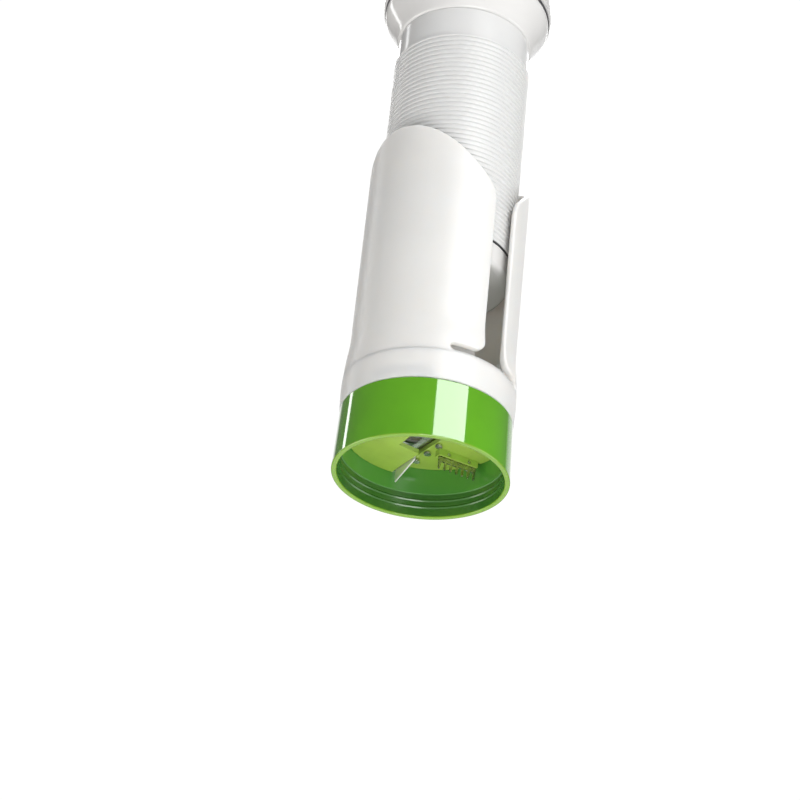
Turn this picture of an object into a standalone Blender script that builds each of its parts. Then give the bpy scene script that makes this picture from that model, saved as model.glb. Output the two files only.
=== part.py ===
"""Hand-held spiralizer: a threaded plunger turns a vegetable onto the blades of a cutter head.

Metres, +Z up. The origin is the centre of the cutter head's rim, which the part stands on.
The front grip faces -Y, and the two gaps between the grips face +X and -X.
"""
import bpy
import bmesh
from math import asin, atan2, ceil, cos, pi, radians, sin, tan, tau
from mathutils import Matrix, Vector

# Clearances between pieces
SEAT_GAP = 0.0003
JAW_CLEARANCE = 0.0014

# Cutter head
HEAD_RIM_R = 0.0370
HEAD_TAPER = 0.00075
HEAD_HEIGHT = 0.0271
LIP_WIDTH = 0.0023
LEDGE_WIDTH = 0.0005
LEDGE_SLOPE = 0.0003
RIM_ROUND = 0.0005
HEAD_ROOF = 0.0001
RIDGE_HEIGHTS = (0.0048, 0.0080)
RIDGE_DEPTH = 0.0004
RIDGE_HALF = 0.0006
LEDGE_Z = 0.0110
SPIGOT_HEIGHT = 0.0062
SPIGOT_WALL = 0.0021
SPIGOT_INSET = 0.0001
LUG_COUNT = 3
LUG_DEPTH = 0.0012
LUG_HALF_ANGLE = radians(4)
LUG_RISE = 0.0038
LUG_HEIGHT = 0.0020
LUG_START_ANGLE = radians(-80)
TWIST_ANGLE = radians(30)

# Cutting plate, a ramp that rises once round, with a slot for the slices
PLATE_THICK = 0.0020
PLATE_DEPTH = 0.0042
PLATE_STEP = 0.0044
PLATE_HOLE_R = 0.0050
PLATE_STEPS = 60
RAMP_START = radians(150)
RAMP_SWEEP = radians(390)
BLADE_DIRECTION = radians(163.5)
SLOT_NEAR = 0.0049
SLOT_FAR = 0.0090
END_TRIM_REACH = 0.0030
WINDOW_REACH = 0.0120
GUIDE_THICK = 0.0006
GUIDE_INNER_END = 0.0160
GUIDE_END_MARGIN = 0.0029
GUIDE_TOP_GAP = 0.0002
GUIDE_INNER_DROP = 0.0008
GUIDE_OUTER_DROP = 0.0056
CLIP_ANGLES = (radians(20), radians(-70), radians(-150))
CLIP_HALF_ANGLE = radians(4)
CLIP_REACH = 0.0010
CLIP_HEIGHT = 0.0012

# Ribbon blade
BLADE_THICK = 0.0007
BLADE_OVERHANG = 0.0034
BLADE_REAR = 0.0124
BLADE_INNER_END = 0.0010
BLADE_END_MARGIN = 0.0054
BLADE_GRIND = 0.0016
RIVET_OFFSET = 0.0108
RIVET_COUNT = 3
RIVET_INNER_MARGIN = 0.0050
RIVET_OUTER_MARGIN = 0.0045
RIVET_SHANK_R = 0.0009
RIVET_HEAD_R = 0.0016
RIVET_FOOT_HEIGHT = 0.0008
RIVET_LEAN = 0.0001
RIVET_CROWN_SHARE = 0.8

# Comb blade
COMB_END_MARGIN = 0.00155
COMB_END_ANGLE = radians(89.4)
COMB_DIRECTION = radians(71.2)
COMB_INSET = 0.0161
COMB_THICK = 0.0008
COMB_TEETH = 7
COMB_TOOTH_WIDTH = 0.0010
COMB_TOOTH_TAPER = 0.0001
COMB_POINT_DROP = 0.0003
COMB_CROWN_RISE = 0.0009
COMB_BAR_DROP = 0.0057
COMB_BAR_HEIGHT = 0.0019
COMB_LOWER_TEETH = 0.0034
COMB_CUT_DEPTH = 0.0017
COMB_GULLET = 0.0003
RAIL_WIDTH = 0.0034
RAIL_OVERRUN = 0.0008
PIN_R = 0.0006
PIN_RISE = 0.0014
PIN_SEGMENTS = 8
PIN_END_MARGIN = 0.0040

# Collar
COLLAR_FOOT_STEP = 0.00015
COLLAR_BELLY = 0.0004
COLLAR_WAIST = 0.0002
COLLAR_SHOULDER = 0.00015
COLLAR_BELLY_Z = 0.0370
COLLAR_TOP_Z = 0.0420
SEAL_HEIGHT = 0.0009

# Grips
GRIP_INSET = 0.00145
GRIP_WALL = 0.0024
GRIP_FLARE = ((0.0600, 0.0000), (0.0555, 0.0003), (0.0515, 0.0009), (0.0470, 0.0012))
GRIP_EDGE_REACH = 0.0061
GRIP_TOP_Z = 0.1567
GRIP_TOP_SLOPE = 1.026
GRIP_CORNER_R = 0.0145
GRIP_HEEL_R = 0.0050
SLIT_HEIGHT = 0.0036
SLIT_END_REACH = 0.0209
JAW_Z = 0.1310
JAW_TURNS = 6
JAW_HALF_ANGLE = radians(35)

# Plunger
TUBE_CLEARANCE = 0.0024
THREAD_DEPTH = 0.0006
THREAD_PITCH = 0.0024
THREAD_FOOT_Z = 0.1064
THREAD_TOP_Z = 0.2069
TUBE_WALL = 0.0020
TUBE_LID = 0.0031
NECK_INSET = 0.0009
NECK_OVERLAP = 0.0012
NECK_TOP_Z = 0.2221
BEAD_DEPTH = 0.0005
BEAD_HALF = 0.0009
BEAD_Z = 0.1098
GLIDE_RING_INSET = 0.0001
GLIDE_RING_HEIGHT = 0.0012
HOLDER_INSET = 0.0008
HOLDER_FOOT_Z = 0.0940
HOLDER_FLOOR = 0.0040
HOLDER_WALL = 0.0024
HOLDER_ROUND = 0.0030
SPIGOT_TOP_Z = 0.1130
PRONG_PLATE_R = 0.0150
PRONG_PLATE_THICK = 0.0010
PRONG_COUNT = 6
PRONG_EDGE_MARGIN = 0.0028
PRONG_R = 0.0013
PRONG_TIP_R = 0.0002
PRONG_ROOT = 0.0005
PRONG_LENGTH = 0.0060
PRONG_SCREW_CIRCLE_R = 0.0070
KNOB_SCREW_CIRCLE_R = 0.0180
SCREW_COUNT = 3
SCREW_SHANK_R = 0.0015
SCREW_HEAD_R = 0.0029
SCREW_HEAD_HEIGHT = 0.0018

# Knob
KNOB_FOOT_STEP = 0.0029
KNOB_FLARE = ((0.0040, 0.0030), (0.0080, 0.0011), (0.0118, 0.0003))
KNOB_SEAM_RISE = 0.0150
KNOB_SEAM_R = 0.0384
KNOB_WALL = 0.0022
KNOB_FLOOR = 0.0026
TRIM_HEIGHT = 0.0009
TRIM_INSET = 0.0007
TRIM_WIDTH = 0.0025
CAP_OVERHANG = 0.0001
CAP_EDGE_TUCK = 0.0003
CAP_BULGE_RISE = 0.0016
CAP_FLANK = 0.0002
CAP_SHOULDER_INSET = 0.0011
CAP_SHOULDER_DROP = 0.0110
CAP_RISE = 0.0231
CAP_DOME_WIDTH = 0.0119
CAP_WALL = 0.0022
CAP_SKIRT_DEPTH = 0.0038

# Facets
RING_SEGMENTS = 48
THREAD_SEGMENTS = 26
SMALL_SEGMENTS = 10

# Values that follow from the sizes above
HEAD_TOP_R = HEAD_RIM_R - HEAD_TAPER
HEAD_MOUTH_R = HEAD_RIM_R - LIP_WIDTH
HEAD_BORE_R = HEAD_MOUTH_R - LEDGE_WIDTH
COLLAR_FOOT_R = HEAD_TOP_R + COLLAR_FOOT_STEP
COLLAR_BELLY_R = COLLAR_FOOT_R + COLLAR_BELLY
COLLAR_TOP_R = COLLAR_FOOT_R + COLLAR_SHOULDER
GRIP_R = COLLAR_TOP_R - GRIP_INSET
BORE_R = GRIP_R - GRIP_WALL
THREAD_CREST_R = BORE_R - TUBE_CLEARANCE
THREAD_ROOT_R = THREAD_CREST_R - THREAD_DEPTH
NECK_R = THREAD_CREST_R - NECK_INSET
HOLDER_R = THREAD_CREST_R - HOLDER_INSET
GLIDE_RING_R = THREAD_CREST_R - GLIDE_RING_INSET
PRONG_CIRCLE_R = PRONG_PLATE_R - PRONG_EDGE_MARGIN
SPIGOT_TOP = HEAD_HEIGHT + SPIGOT_HEIGHT + SEAT_GAP
LUG_Z = HEAD_HEIGHT + LUG_RISE
SPIGOT_R = HEAD_BORE_R - SPIGOT_INSET
SOCKET_R = SPIGOT_R + SEAT_GAP
PLATE_R = HEAD_BORE_R - SEAT_GAP
PLATE_CEILING = HEAD_HEIGHT - HEAD_ROOF
PLATE_HIGH_Z = HEAD_HEIGHT - PLATE_DEPTH
GUIDE_OUTER_END = PLATE_R - GUIDE_END_MARGIN
BLADE_OUTER_END = PLATE_R - BLADE_END_MARGIN
COMB_LENGTH = PLATE_R - COMB_INSET
COMB_BAR_Z = PLATE_HIGH_Z - COMB_BAR_DROP
SOCKET_TOP = SPIGOT_TOP + SEAL_HEIGHT + 2 * SEAT_GAP
SLIT_TOP = COLLAR_TOP_Z + SLIT_HEIGHT
GRIP_FOOT_Z = COLLAR_TOP_Z + SEAT_GAP
BLADE_Z = PLATE_HIGH_Z + PLATE_THICK + SEAT_GAP
TUBE_BORE_R = THREAD_ROOT_R - TUBE_WALL
HOLDER_SPIGOT_R = TUBE_BORE_R - SEAT_GAP
RING_TOP = THREAD_FOOT_Z - SEAT_GAP
RING_FOOT = RING_TOP - GLIDE_RING_HEIGHT
HOLDER_SHOULDER = RING_FOOT - SEAT_GAP
KNOB_FOOT_Z = NECK_TOP_Z + SEAT_GAP
KNOB_SEAM_Z = KNOB_FOOT_Z + KNOB_SEAM_RISE
TRIM_FOOT = KNOB_SEAM_Z + SEAT_GAP
CAP_FOOT = TRIM_FOOT + TRIM_HEIGHT + SEAT_GAP
CAP_TOP_Z = CAP_FOOT + CAP_RISE
KNOB_FOOT_R = NECK_R + KNOB_FOOT_STEP
TRIM_R = KNOB_SEAM_R - TRIM_INSET
TRIM_INNER_R = TRIM_R - TRIM_WIDTH
CAP_BULGE_R = KNOB_SEAM_R + CAP_OVERHANG
CAP_SHOULDER_R = CAP_BULGE_R - CAP_SHOULDER_INSET
CAP_FLAT_R = CAP_SHOULDER_R - CAP_DOME_WIDTH
CUT_MARGIN = 0.001
FAR = 0.2
MILLIMETRE = 0.001

WHITE = ("white_body", (0.86, 0.86, 0.85), 0.42, 0.0)
GLOSS_WHITE = ("white_gloss", (0.90, 0.90, 0.90), 0.16, 0.0)
GREEN = ("green_head", (0.12, 0.44, 0.03), 0.14, 0.0)
LIME = ("lime_plate", (0.33, 0.50, 0.05), 0.30, 0.0)
STEEL = ("steel", (0.62, 0.62, 0.61), 0.22, 1.0)
DARK = ("dark_grey", (0.06, 0.06, 0.065), 0.45, 0.0)
SEAL = ("seal_grey", (0.45, 0.46, 0.46), 0.60, 0.0)


def clear_scene():
    """Start from nothing."""
    for item in list(bpy.data.objects):
        bpy.data.objects.remove(item, do_unlink=True)


def new_collection(name):
    """A collection linked to the scene."""
    collection = bpy.data.collections.new(name)
    bpy.context.scene.collection.children.link(collection)
    return collection


def finish(spec):
    """The Principled material of a finish, made once."""
    name, colour, roughness, metallic = spec
    found = bpy.data.materials.get(name)
    if found:
        return found
    made = bpy.data.materials.new(name)
    made.use_nodes = True
    shader = made.node_tree.nodes["Principled BSDF"]
    shader.inputs["Base Color"].default_value = (*colour, 1.0)
    shader.inputs["Roughness"].default_value = roughness
    shader.inputs["Metallic"].default_value = metallic
    made.diffuse_color = (*colour, 1.0)
    return made


def add_object(name, mesh, spec=None):
    """A part where a finish is given, and otherwise a cutter."""
    obj = bpy.data.objects.new(name, mesh)
    if spec:
        obj.data.materials.append(finish(spec))
        PARTS.objects.link(obj)
    else:
        obj.hide_render = True
        obj.display_type = "WIRE"
        CUTTERS.objects.link(obj)
    return obj


def mesh_from(build_mesh, name, turn_out=True):
    """A mesh from a bmesh, with its faces pointing out. A primitive's already do."""
    if turn_out:
        bmesh.ops.recalc_face_normals(build_mesh, faces=build_mesh.faces[:])
    mesh = bpy.data.meshes.new(name)
    build_mesh.to_mesh(mesh)
    build_mesh.free()
    return mesh


def evaluated_mesh(obj):
    """The object's mesh after its modifiers or its curve settings."""
    graph = bpy.context.evaluated_depsgraph_get()
    return bpy.data.meshes.new_from_object(obj.evaluated_get(graph))


def soften(obj, angle=radians(35)):
    """Shade round walls smooth and keep the edges crisp."""
    obj.data.shade_smooth()
    obj.data.set_sharp_from_angle(angle=angle)


def turned(name, profile, spec=None, segments=RING_SEGMENTS, ring=True):
    """A turned solid. A ring's profile is a closed loop, and a solid's starts and ends on the axis."""
    mesh = bpy.data.meshes.new(name)
    count = len(profile)
    edges = [(i, i + 1) for i in range(count - 1)]
    if ring:
        edges.append((count - 1, 0))
    mesh.from_pydata([(r, 0.0, z) for r, z in profile], edges, [])
    obj = add_object(name, mesh, spec)
    screw = obj.modifiers.new("turn", "SCREW")
    screw.steps = segments
    screw.render_steps = segments
    screw.use_merge_vertices = True
    screw.merge_threshold = 0.00001
    screw.use_smooth_shade = False
    return obj


def rounded(corners, steps=4):
    """Points of an outline whose corners (x, y, radius) are rounded."""
    points = []
    count = len(corners)
    for i, (x, y, radius) in enumerate(corners):
        here = Vector((x, y))
        before = (Vector(corners[i - 1][:2]) - here).normalized()
        after = (Vector(corners[(i + 1) % count][:2]) - here).normalized()
        if radius == 0:
            points.append((x, y))
            continue
        half = before.angle(after) / 2
        reach = radius / tan(half)
        centre = here + (before + after).normalized() * radius / sin(half)
        first = here + before * reach - centre
        last = here + after * reach - centre
        turn = first.angle_signed(last)
        for k in range(steps + 1):
            spoke = first.copy()
            spoke.rotate(Matrix.Rotation(-turn * k / steps, 2))
            points.append(tuple(centre + spoke))
    return points


def outlined(name, points, thickness, place, spec=None):
    """A flat outline extruded by its thickness, half to each side of its plane.

    It is drawn in millimetres, because the fill drops detail that is a few hundredths of its unit.
    """
    curve = bpy.data.curves.new(name, "CURVE")
    curve.dimensions = "2D"
    curve.fill_mode = "BOTH"
    curve.extrude = thickness / 2 / MILLIMETRE
    spline = curve.splines.new("POLY")
    spline.points.add(len(points) - 1)
    for point, (x, y) in zip(spline.points, points):
        point.co = (x / MILLIMETRE, y / MILLIMETRE, 0, 1)
    spline.use_cyclic_u = True
    drawn = bpy.data.objects.new(name + "_outline", curve)
    bpy.context.scene.collection.objects.link(drawn)
    bpy.context.view_layer.update()
    build_mesh = bmesh.new()
    build_mesh.from_mesh(evaluated_mesh(drawn))
    bpy.data.objects.remove(drawn)
    bmesh.ops.scale(build_mesh, vec=(MILLIMETRE,) * 3, verts=build_mesh.verts[:])
    bmesh.ops.remove_doubles(build_mesh, verts=build_mesh.verts[:], dist=0.000001)
    bmesh.ops.dissolve_limit(build_mesh, angle_limit=radians(0.5), verts=build_mesh.verts[:],
                             edges=build_mesh.edges[:])
    obj = add_object(name, mesh_from(build_mesh, name), spec)
    obj.matrix_world = place
    return obj


def sector(name, inner, outer, centre_angle, half_angle, low, high, spec=None, steps=6):
    """A piece of a ring between two radii, two angles and two heights."""
    angles = [centre_angle + half_angle * (2 * k / steps - 1) for k in range(steps + 1)]
    points = [(outer * cos(a), outer * sin(a)) for a in angles]
    points += [(inner * cos(a), inner * sin(a)) for a in reversed(angles)]
    place = Matrix.Translation((0, 0, (low + high) / 2))
    return outlined(name, points, high - low, place, spec)


def block(name, low, high, turn=0.0, spec=None):
    """A box between two corners, turned about +Z afterwards."""
    low = Vector(low)
    high = Vector(high)
    build_mesh = bmesh.new()
    bmesh.ops.create_cube(build_mesh, size=1)
    placed = Matrix.Translation((low + high) / 2) @ Matrix.Diagonal((*(high - low), 1))
    build_mesh.transform(Matrix.Rotation(turn, 4, "Z") @ placed)
    return add_object(name, mesh_from(build_mesh, name, False), spec)


def rod(name, x, y, low, high, radius, top_radius=None, spec=None, segments=SMALL_SEGMENTS):
    """An upright cylinder or cone."""
    build_mesh = bmesh.new()
    bmesh.ops.create_cone(
        build_mesh, cap_ends=True, segments=segments, radius1=radius,
        radius2=radius if top_radius is None else top_radius, depth=high - low,
        matrix=Matrix.Translation((x, y, (low + high) / 2)))
    return add_object(name, mesh_from(build_mesh, name, False), spec)


def combine(target, tool, operation):
    """Add a Boolean. The tool of a cut or a join isn't a part of its own."""
    change = target.modifiers.new(tool.name, "BOOLEAN")
    change.operation = operation
    change.solver = "EXACT"
    change.object = tool
    return target


def cut(target, tool):
    return combine(target, tool, "DIFFERENCE")


def join(target, tool):
    return combine(target, tool, "UNION")


def around(count, radius, start=0.0):
    """Places spaced evenly round a circle."""
    return [(radius * cos(start + tau * k / count), radius * sin(start + tau * k / count))
            for k in range(count)]


def threaded_rod(name, crest, root, low, high, spec=None):
    """A right-hand threaded bar with level ends. Its thread is in phase with the plunger's."""
    base = THREAD_FOOT_Z - THREAD_PITCH * ceil((THREAD_FOOT_Z - low) / THREAD_PITCH + 2)
    turns = ceil((high - base) / THREAD_PITCH) + 1
    mesh = bpy.data.meshes.new(name)
    ridge = [(crest, base + THREAD_PITCH), (root, base + THREAD_PITCH / 2), (crest, base)]
    mesh.from_pydata([(r, 0.0, z) for r, z in ridge], [(0, 1), (1, 2)], [])
    wound = bpy.data.objects.new(name + "_wound", mesh)
    bpy.context.scene.collection.objects.link(wound)
    screw = wound.modifiers.new("wind", "SCREW")
    screw.steps = THREAD_SEGMENTS
    screw.render_steps = THREAD_SEGMENTS
    screw.screw_offset = THREAD_PITCH
    screw.iterations = turns
    screw.use_merge_vertices = True
    screw.merge_threshold = 0.00001
    bpy.context.view_layer.update()
    build_mesh = bmesh.new()
    build_mesh.from_mesh(evaluated_mesh(wound))
    bpy.data.objects.remove(wound)
    bmesh.ops.remove_doubles(build_mesh, verts=build_mesh.verts[:], dist=0.000005)
    for height, side in ((low, -1), (high, 1)):
        everything = build_mesh.verts[:] + build_mesh.edges[:] + build_mesh.faces[:]
        bmesh.ops.bisect_plane(build_mesh, geom=everything, dist=0.000001, plane_co=(0, 0, height),
                               plane_no=(0, 0, side), clear_outer=True)
        open_edges = [edge for edge in build_mesh.edges
                      if edge.is_boundary and all(abs(v.co.z - height) < 0.000002 for v in edge.verts)]
        bmesh.ops.contextual_create(build_mesh, geom=open_edges)
    return add_object(name, mesh_from(build_mesh, name), spec)


def ramp_underside(angle):
    """Height of the cutting plate's underside at an angle, falling clockwise from its start."""
    turned_by = (RAMP_START - angle) % tau
    return PLATE_HIGH_Z - PLATE_STEP * turned_by / tau


def beside_blade(along, aside):
    """A place given along the ribbon blade and square to it, towards the high side."""
    u = Vector((cos(BLADE_DIRECTION), sin(BLADE_DIRECTION)))
    n = Vector((u.y, -u.x))
    return u * along + n * aside


def body_collar():
    """The white ring that carries the grips and takes the cutter head."""
    collar = turned("body_collar", [
        (COLLAR_TOP_R, COLLAR_TOP_Z),
        (COLLAR_BELLY_R, COLLAR_BELLY_Z),
        (COLLAR_FOOT_R + COLLAR_WAIST, (COLLAR_BELLY_Z + HEAD_HEIGHT) / 2),
        (COLLAR_FOOT_R, HEAD_HEIGHT + SEAT_GAP),
        (SOCKET_R, HEAD_HEIGHT + SEAT_GAP),
        (SOCKET_R, SOCKET_TOP),
        (BORE_R, SOCKET_TOP),
        (BORE_R, COLLAR_TOP_Z)], WHITE)
    groove_r = SPIGOT_R + LUG_DEPTH + SEAT_GAP
    low = LUG_Z - LUG_HEIGHT / 2 - SEAT_GAP
    high = LUG_Z + LUG_HEIGHT / 2 + SEAT_GAP
    slack = SEAT_GAP / SPIGOT_R
    reach = LUG_HALF_ANGLE + slack + TWIST_ANGLE / 2
    for k in range(LUG_COUNT):
        lock = LUG_START_ANGLE + tau * k / LUG_COUNT
        groove = sector(f"bayonet_groove_{k}", SOCKET_R - CUT_MARGIN, groove_r,
                        lock + TWIST_ANGLE / 2, reach, low, high)
        entry = sector(f"bayonet_entry_{k}", SOCKET_R - CUT_MARGIN, groove_r, lock + TWIST_ANGLE,
                       LUG_HALF_ANGLE + slack, HEAD_HEIGHT - CUT_MARGIN, high - SEAT_GAP / 3)
        cut(cut(collar, groove), entry)
    soften(collar)
    return collar


def grip_outline():
    """Side view of a grip: its reach out from the middle, and its height."""
    slope = GRIP_TOP_SLOPE
    top_at_front = GRIP_TOP_Z + slope * (FAR - GRIP_R)
    top_at_edge = GRIP_TOP_Z - slope * (GRIP_R - GRIP_EDGE_REACH)
    end_r = SLIT_HEIGHT / 2
    end_x = SLIT_END_REACH - end_r
    outline = [(FAR, GRIP_FOOT_Z)]
    start = -asin((end_r - SEAT_GAP) / end_r)
    for k in range(7):
        a = start + (pi / 2 - start) * k / 6
        outline.append((end_x + end_r * cos(a), COLLAR_TOP_Z + end_r + end_r * sin(a)))
    corners = [(end_x, SLIT_TOP, 0), (GRIP_EDGE_REACH, SLIT_TOP, GRIP_HEEL_R),
               (GRIP_EDGE_REACH, top_at_edge, GRIP_CORNER_R), (FAR, top_at_front, 0)]
    outline += rounded(corners, 5)[1:]
    return outline


def grip(name, turn):
    """A curved wing, hinged at its foot, with half a nut inside its upper end."""
    top = GRIP_TOP_Z + 2 * CUT_MARGIN
    foot = GRIP_FOOT_Z - CUT_MARGIN
    profile = [(GRIP_R, top)]
    profile += [(GRIP_R + rise, z) for z, rise in GRIP_FLARE]
    profile += [(COLLAR_TOP_R, foot), (BORE_R, foot), (BORE_R, top)]
    wing = turned(name, profile, WHITE)
    sideways = Matrix(((0, 0, -1, 0), (-1, 0, 0, 0), (0, 1, 0, 0), (0, 0, 0, 1)))
    about = Matrix.Rotation(turn, 4, "Z")
    side_cut = outlined(name + "_side", grip_outline(), 4 * GRIP_R, about @ sideways)
    combine(wing, side_cut, "INTERSECT")
    jaw_top = JAW_Z + JAW_TURNS * THREAD_PITCH
    jaw_r = THREAD_ROOT_R + JAW_CLEARANCE
    jaw = sector(name + "_jaw", jaw_r - SEAT_GAP, BORE_R + GRIP_WALL / 2, turn - pi / 2, JAW_HALF_ANGLE,
                 JAW_Z, jaw_top, steps=12)
    join(wing, jaw)
    nut = threaded_rod(name + "_nut", jaw_r + THREAD_DEPTH, jaw_r, JAW_Z - CUT_MARGIN,
                       jaw_top + CUT_MARGIN)
    cut(wing, nut)
    soften(wing)
    return wing


def feed_tube():
    """The threaded tube with its plain neck, hollow from below."""
    tube = threaded_rod("feed_tube", THREAD_CREST_R, THREAD_ROOT_R, THREAD_FOOT_Z, THREAD_TOP_Z, WHITE)
    neck_foot = THREAD_TOP_Z - NECK_OVERLAP
    neck = turned("neck", [(0, NECK_TOP_Z), (NECK_R, NECK_TOP_Z), (NECK_R, neck_foot), (0, neck_foot)],
                  ring=False)
    join(tube, neck)
    lid_z = NECK_TOP_Z - TUBE_LID
    bore_foot = THREAD_FOOT_Z - CUT_MARGIN
    bore = turned("tube_bore", [
        (0, lid_z), (TUBE_BORE_R, lid_z),
        (TUBE_BORE_R, BEAD_Z + BEAD_HALF + SEAT_GAP), (TUBE_BORE_R + BEAD_DEPTH, BEAD_Z + SEAT_GAP),
        (TUBE_BORE_R + BEAD_DEPTH, BEAD_Z - SEAT_GAP), (TUBE_BORE_R, BEAD_Z - BEAD_HALF - SEAT_GAP),
        (TUBE_BORE_R, bore_foot), (0, bore_foot)], ring=False, segments=THREAD_SEGMENTS)
    cut(tube, bore)
    for k, (x, y) in enumerate(around(SCREW_COUNT, KNOB_SCREW_CIRCLE_R)):
        cut(tube, rod(f"lid_hole_{k}", x, y, lid_z - CUT_MARGIN, NECK_TOP_Z + CUT_MARGIN,
                      SCREW_SHANK_R + SEAT_GAP))
    soften(tube, radians(20))
    return tube


def glide_ring():
    """The dark ring between the tube and the food holder."""
    ring = turned("glide_ring", [(GLIDE_RING_R, RING_TOP), (GLIDE_RING_R, RING_FOOT),
                                 (TUBE_BORE_R, RING_FOOT), (TUBE_BORE_R, RING_TOP)],
                  DARK, segments=THREAD_SEGMENTS)
    soften(ring)
    return ring


def food_holder():
    """The glossy cup that closes the tube's foot and pushes the vegetable."""
    inner = HOLDER_SPIGOT_R - HOLDER_WALL
    floor_top = HOLDER_FOOT_Z + HOLDER_FLOOR
    profile = [(0, floor_top), (inner, floor_top), (inner, SPIGOT_TOP_Z), (HOLDER_SPIGOT_R, SPIGOT_TOP_Z),
               (HOLDER_SPIGOT_R, BEAD_Z + BEAD_HALF), (HOLDER_SPIGOT_R + BEAD_DEPTH, BEAD_Z),
               (HOLDER_SPIGOT_R, BEAD_Z - BEAD_HALF), (HOLDER_SPIGOT_R, HOLDER_SHOULDER),
               (HOLDER_R, HOLDER_SHOULDER)]
    for k in range(4):
        a = pi / 2 * k / 3
        profile.append((HOLDER_R - HOLDER_ROUND * (1 - cos(a)), HOLDER_FOOT_Z + HOLDER_ROUND * (1 - sin(a))))
    profile.append((0, HOLDER_FOOT_Z))
    cup = turned("food_holder", profile, GLOSS_WHITE, ring=False, segments=THREAD_SEGMENTS)
    for k, (x, y) in enumerate(around(SCREW_COUNT, PRONG_SCREW_CIRCLE_R)):
        cut(cup, rod(f"holder_hole_{k}", x, y, HOLDER_FOOT_Z - CUT_MARGIN, floor_top + CUT_MARGIN,
                     SCREW_SHANK_R + SEAT_GAP))
    soften(cup)
    return cup


def prong_plate():
    """A steel disc with prongs that bite into the vegetable."""
    top = HOLDER_FOOT_Z - SEAT_GAP
    low = top - PRONG_PLATE_THICK
    plate = rod("prong_plate", 0, 0, low, top, PRONG_PLATE_R, spec=STEEL, segments=THREAD_SEGMENTS)
    for k, (x, y) in enumerate(around(PRONG_COUNT, PRONG_CIRCLE_R, tau / 12)):
        tip = low - PRONG_LENGTH
        join(plate, rod(f"prong_{k}", x, y, tip, low + PRONG_ROOT, PRONG_TIP_R, PRONG_R, segments=6))
    for k, (x, y) in enumerate(around(SCREW_COUNT, PRONG_SCREW_CIRCLE_R)):
        cut(plate, rod(f"prong_hole_{k}", x, y, low - CUT_MARGIN, top + CUT_MARGIN, SCREW_SHANK_R + SEAT_GAP))
    soften(plate)
    return plate


def screws(name, circle_r, seat, shank_end):
    """Screws whose heads bear on the seat, and whose shanks run on to their ends."""
    outward = 1 if seat > shank_end else -1
    for k, (x, y) in enumerate(around(SCREW_COUNT, circle_r)):
        bearing = seat + outward * SEAT_GAP
        crown = bearing + outward * SCREW_HEAD_HEIGHT
        waist = bearing + outward * SCREW_HEAD_HEIGHT / 2
        head = rod(f"{name}_{k + 1}", x, y, min(bearing, crown), max(bearing, crown), SCREW_HEAD_R,
                   spec=STEEL)
        join(head, rod(f"{name}_shank_{k}", x, y, min(shank_end, waist), max(shank_end, waist),
                       SCREW_SHANK_R))
        soften(head)


def knob():
    """The flared knob shell, its dark trim ring and its cap."""
    flare = [(KNOB_SEAM_R - inset, KNOB_FOOT_Z + rise) for rise, inset in KNOB_FLARE]
    outer = [(KNOB_FOOT_R, KNOB_FOOT_Z)] + flare
    outer.append((KNOB_SEAM_R, KNOB_SEAM_Z))
    floor_top = KNOB_FOOT_Z + KNOB_FLOOR
    inner = [(KNOB_FOOT_R - KNOB_WALL, floor_top)]
    inner += [(r - KNOB_WALL, z + KNOB_WALL / 3) for r, z in flare]
    inner.append((KNOB_SEAM_R - KNOB_WALL, KNOB_SEAM_Z))
    profile = [(0, floor_top)] + inner + outer[::-1] + [(0, KNOB_FOOT_Z)]
    shell = turned("knob_shell", profile, GLOSS_WHITE, ring=False)
    for k, (x, y) in enumerate(around(SCREW_COUNT, KNOB_SCREW_CIRCLE_R)):
        cut(shell, rod(f"knob_hole_{k}", x, y, KNOB_FOOT_Z - CUT_MARGIN, floor_top + CUT_MARGIN,
                       SCREW_SHANK_R + SEAT_GAP))
    trim_top = TRIM_FOOT + TRIM_HEIGHT
    trim = turned("knob_trim_ring", [(TRIM_R, trim_top), (TRIM_R, TRIM_FOOT),
                                     (TRIM_INNER_R, TRIM_FOOT), (TRIM_INNER_R, trim_top)], DARK)
    shoulder_z = CAP_TOP_Z - CAP_SHOULDER_DROP
    dome = [(0, CAP_TOP_Z), (CAP_FLAT_R, CAP_TOP_Z)]
    for k in range(1, 5):
        a = pi / 2 * k / 4
        dome.append((CAP_FLAT_R + (CAP_SHOULDER_R - CAP_FLAT_R) * sin(a),
                     shoulder_z + CAP_SHOULDER_DROP * cos(a)))
    skirt_r = TRIM_INNER_R - SEAT_GAP
    skirt_foot = CAP_FOOT - CAP_SKIRT_DEPTH
    rim = [((CAP_SHOULDER_R + CAP_BULGE_R) / 2 + CAP_FLANK, (shoulder_z + CAP_FOOT) / 2),
           (CAP_BULGE_R, CAP_FOOT + CAP_BULGE_RISE), (CAP_BULGE_R - CAP_EDGE_TUCK, CAP_FOOT),
           (skirt_r, CAP_FOOT), (skirt_r, skirt_foot),
           (skirt_r - CAP_WALL, skirt_foot), (skirt_r - CAP_WALL, CAP_FOOT + CAP_WALL)]
    under = [(max(r - CAP_WALL, 0), z - CAP_WALL) for r, z in dome[2:5]][::-1]
    cap = turned("knob_cap", dome + rim + under + [(CAP_FLAT_R - CAP_WALL, CAP_TOP_Z - CAP_WALL),
                                                   (0, CAP_TOP_Z - CAP_WALL)], GLOSS_WHITE, ring=False)
    for piece in (shell, trim, cap):
        soften(piece)
    screws("knob_screw", KNOB_SCREW_CIRCLE_R, floor_top, NECK_TOP_Z - TUBE_LID + SEAT_GAP)


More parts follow.
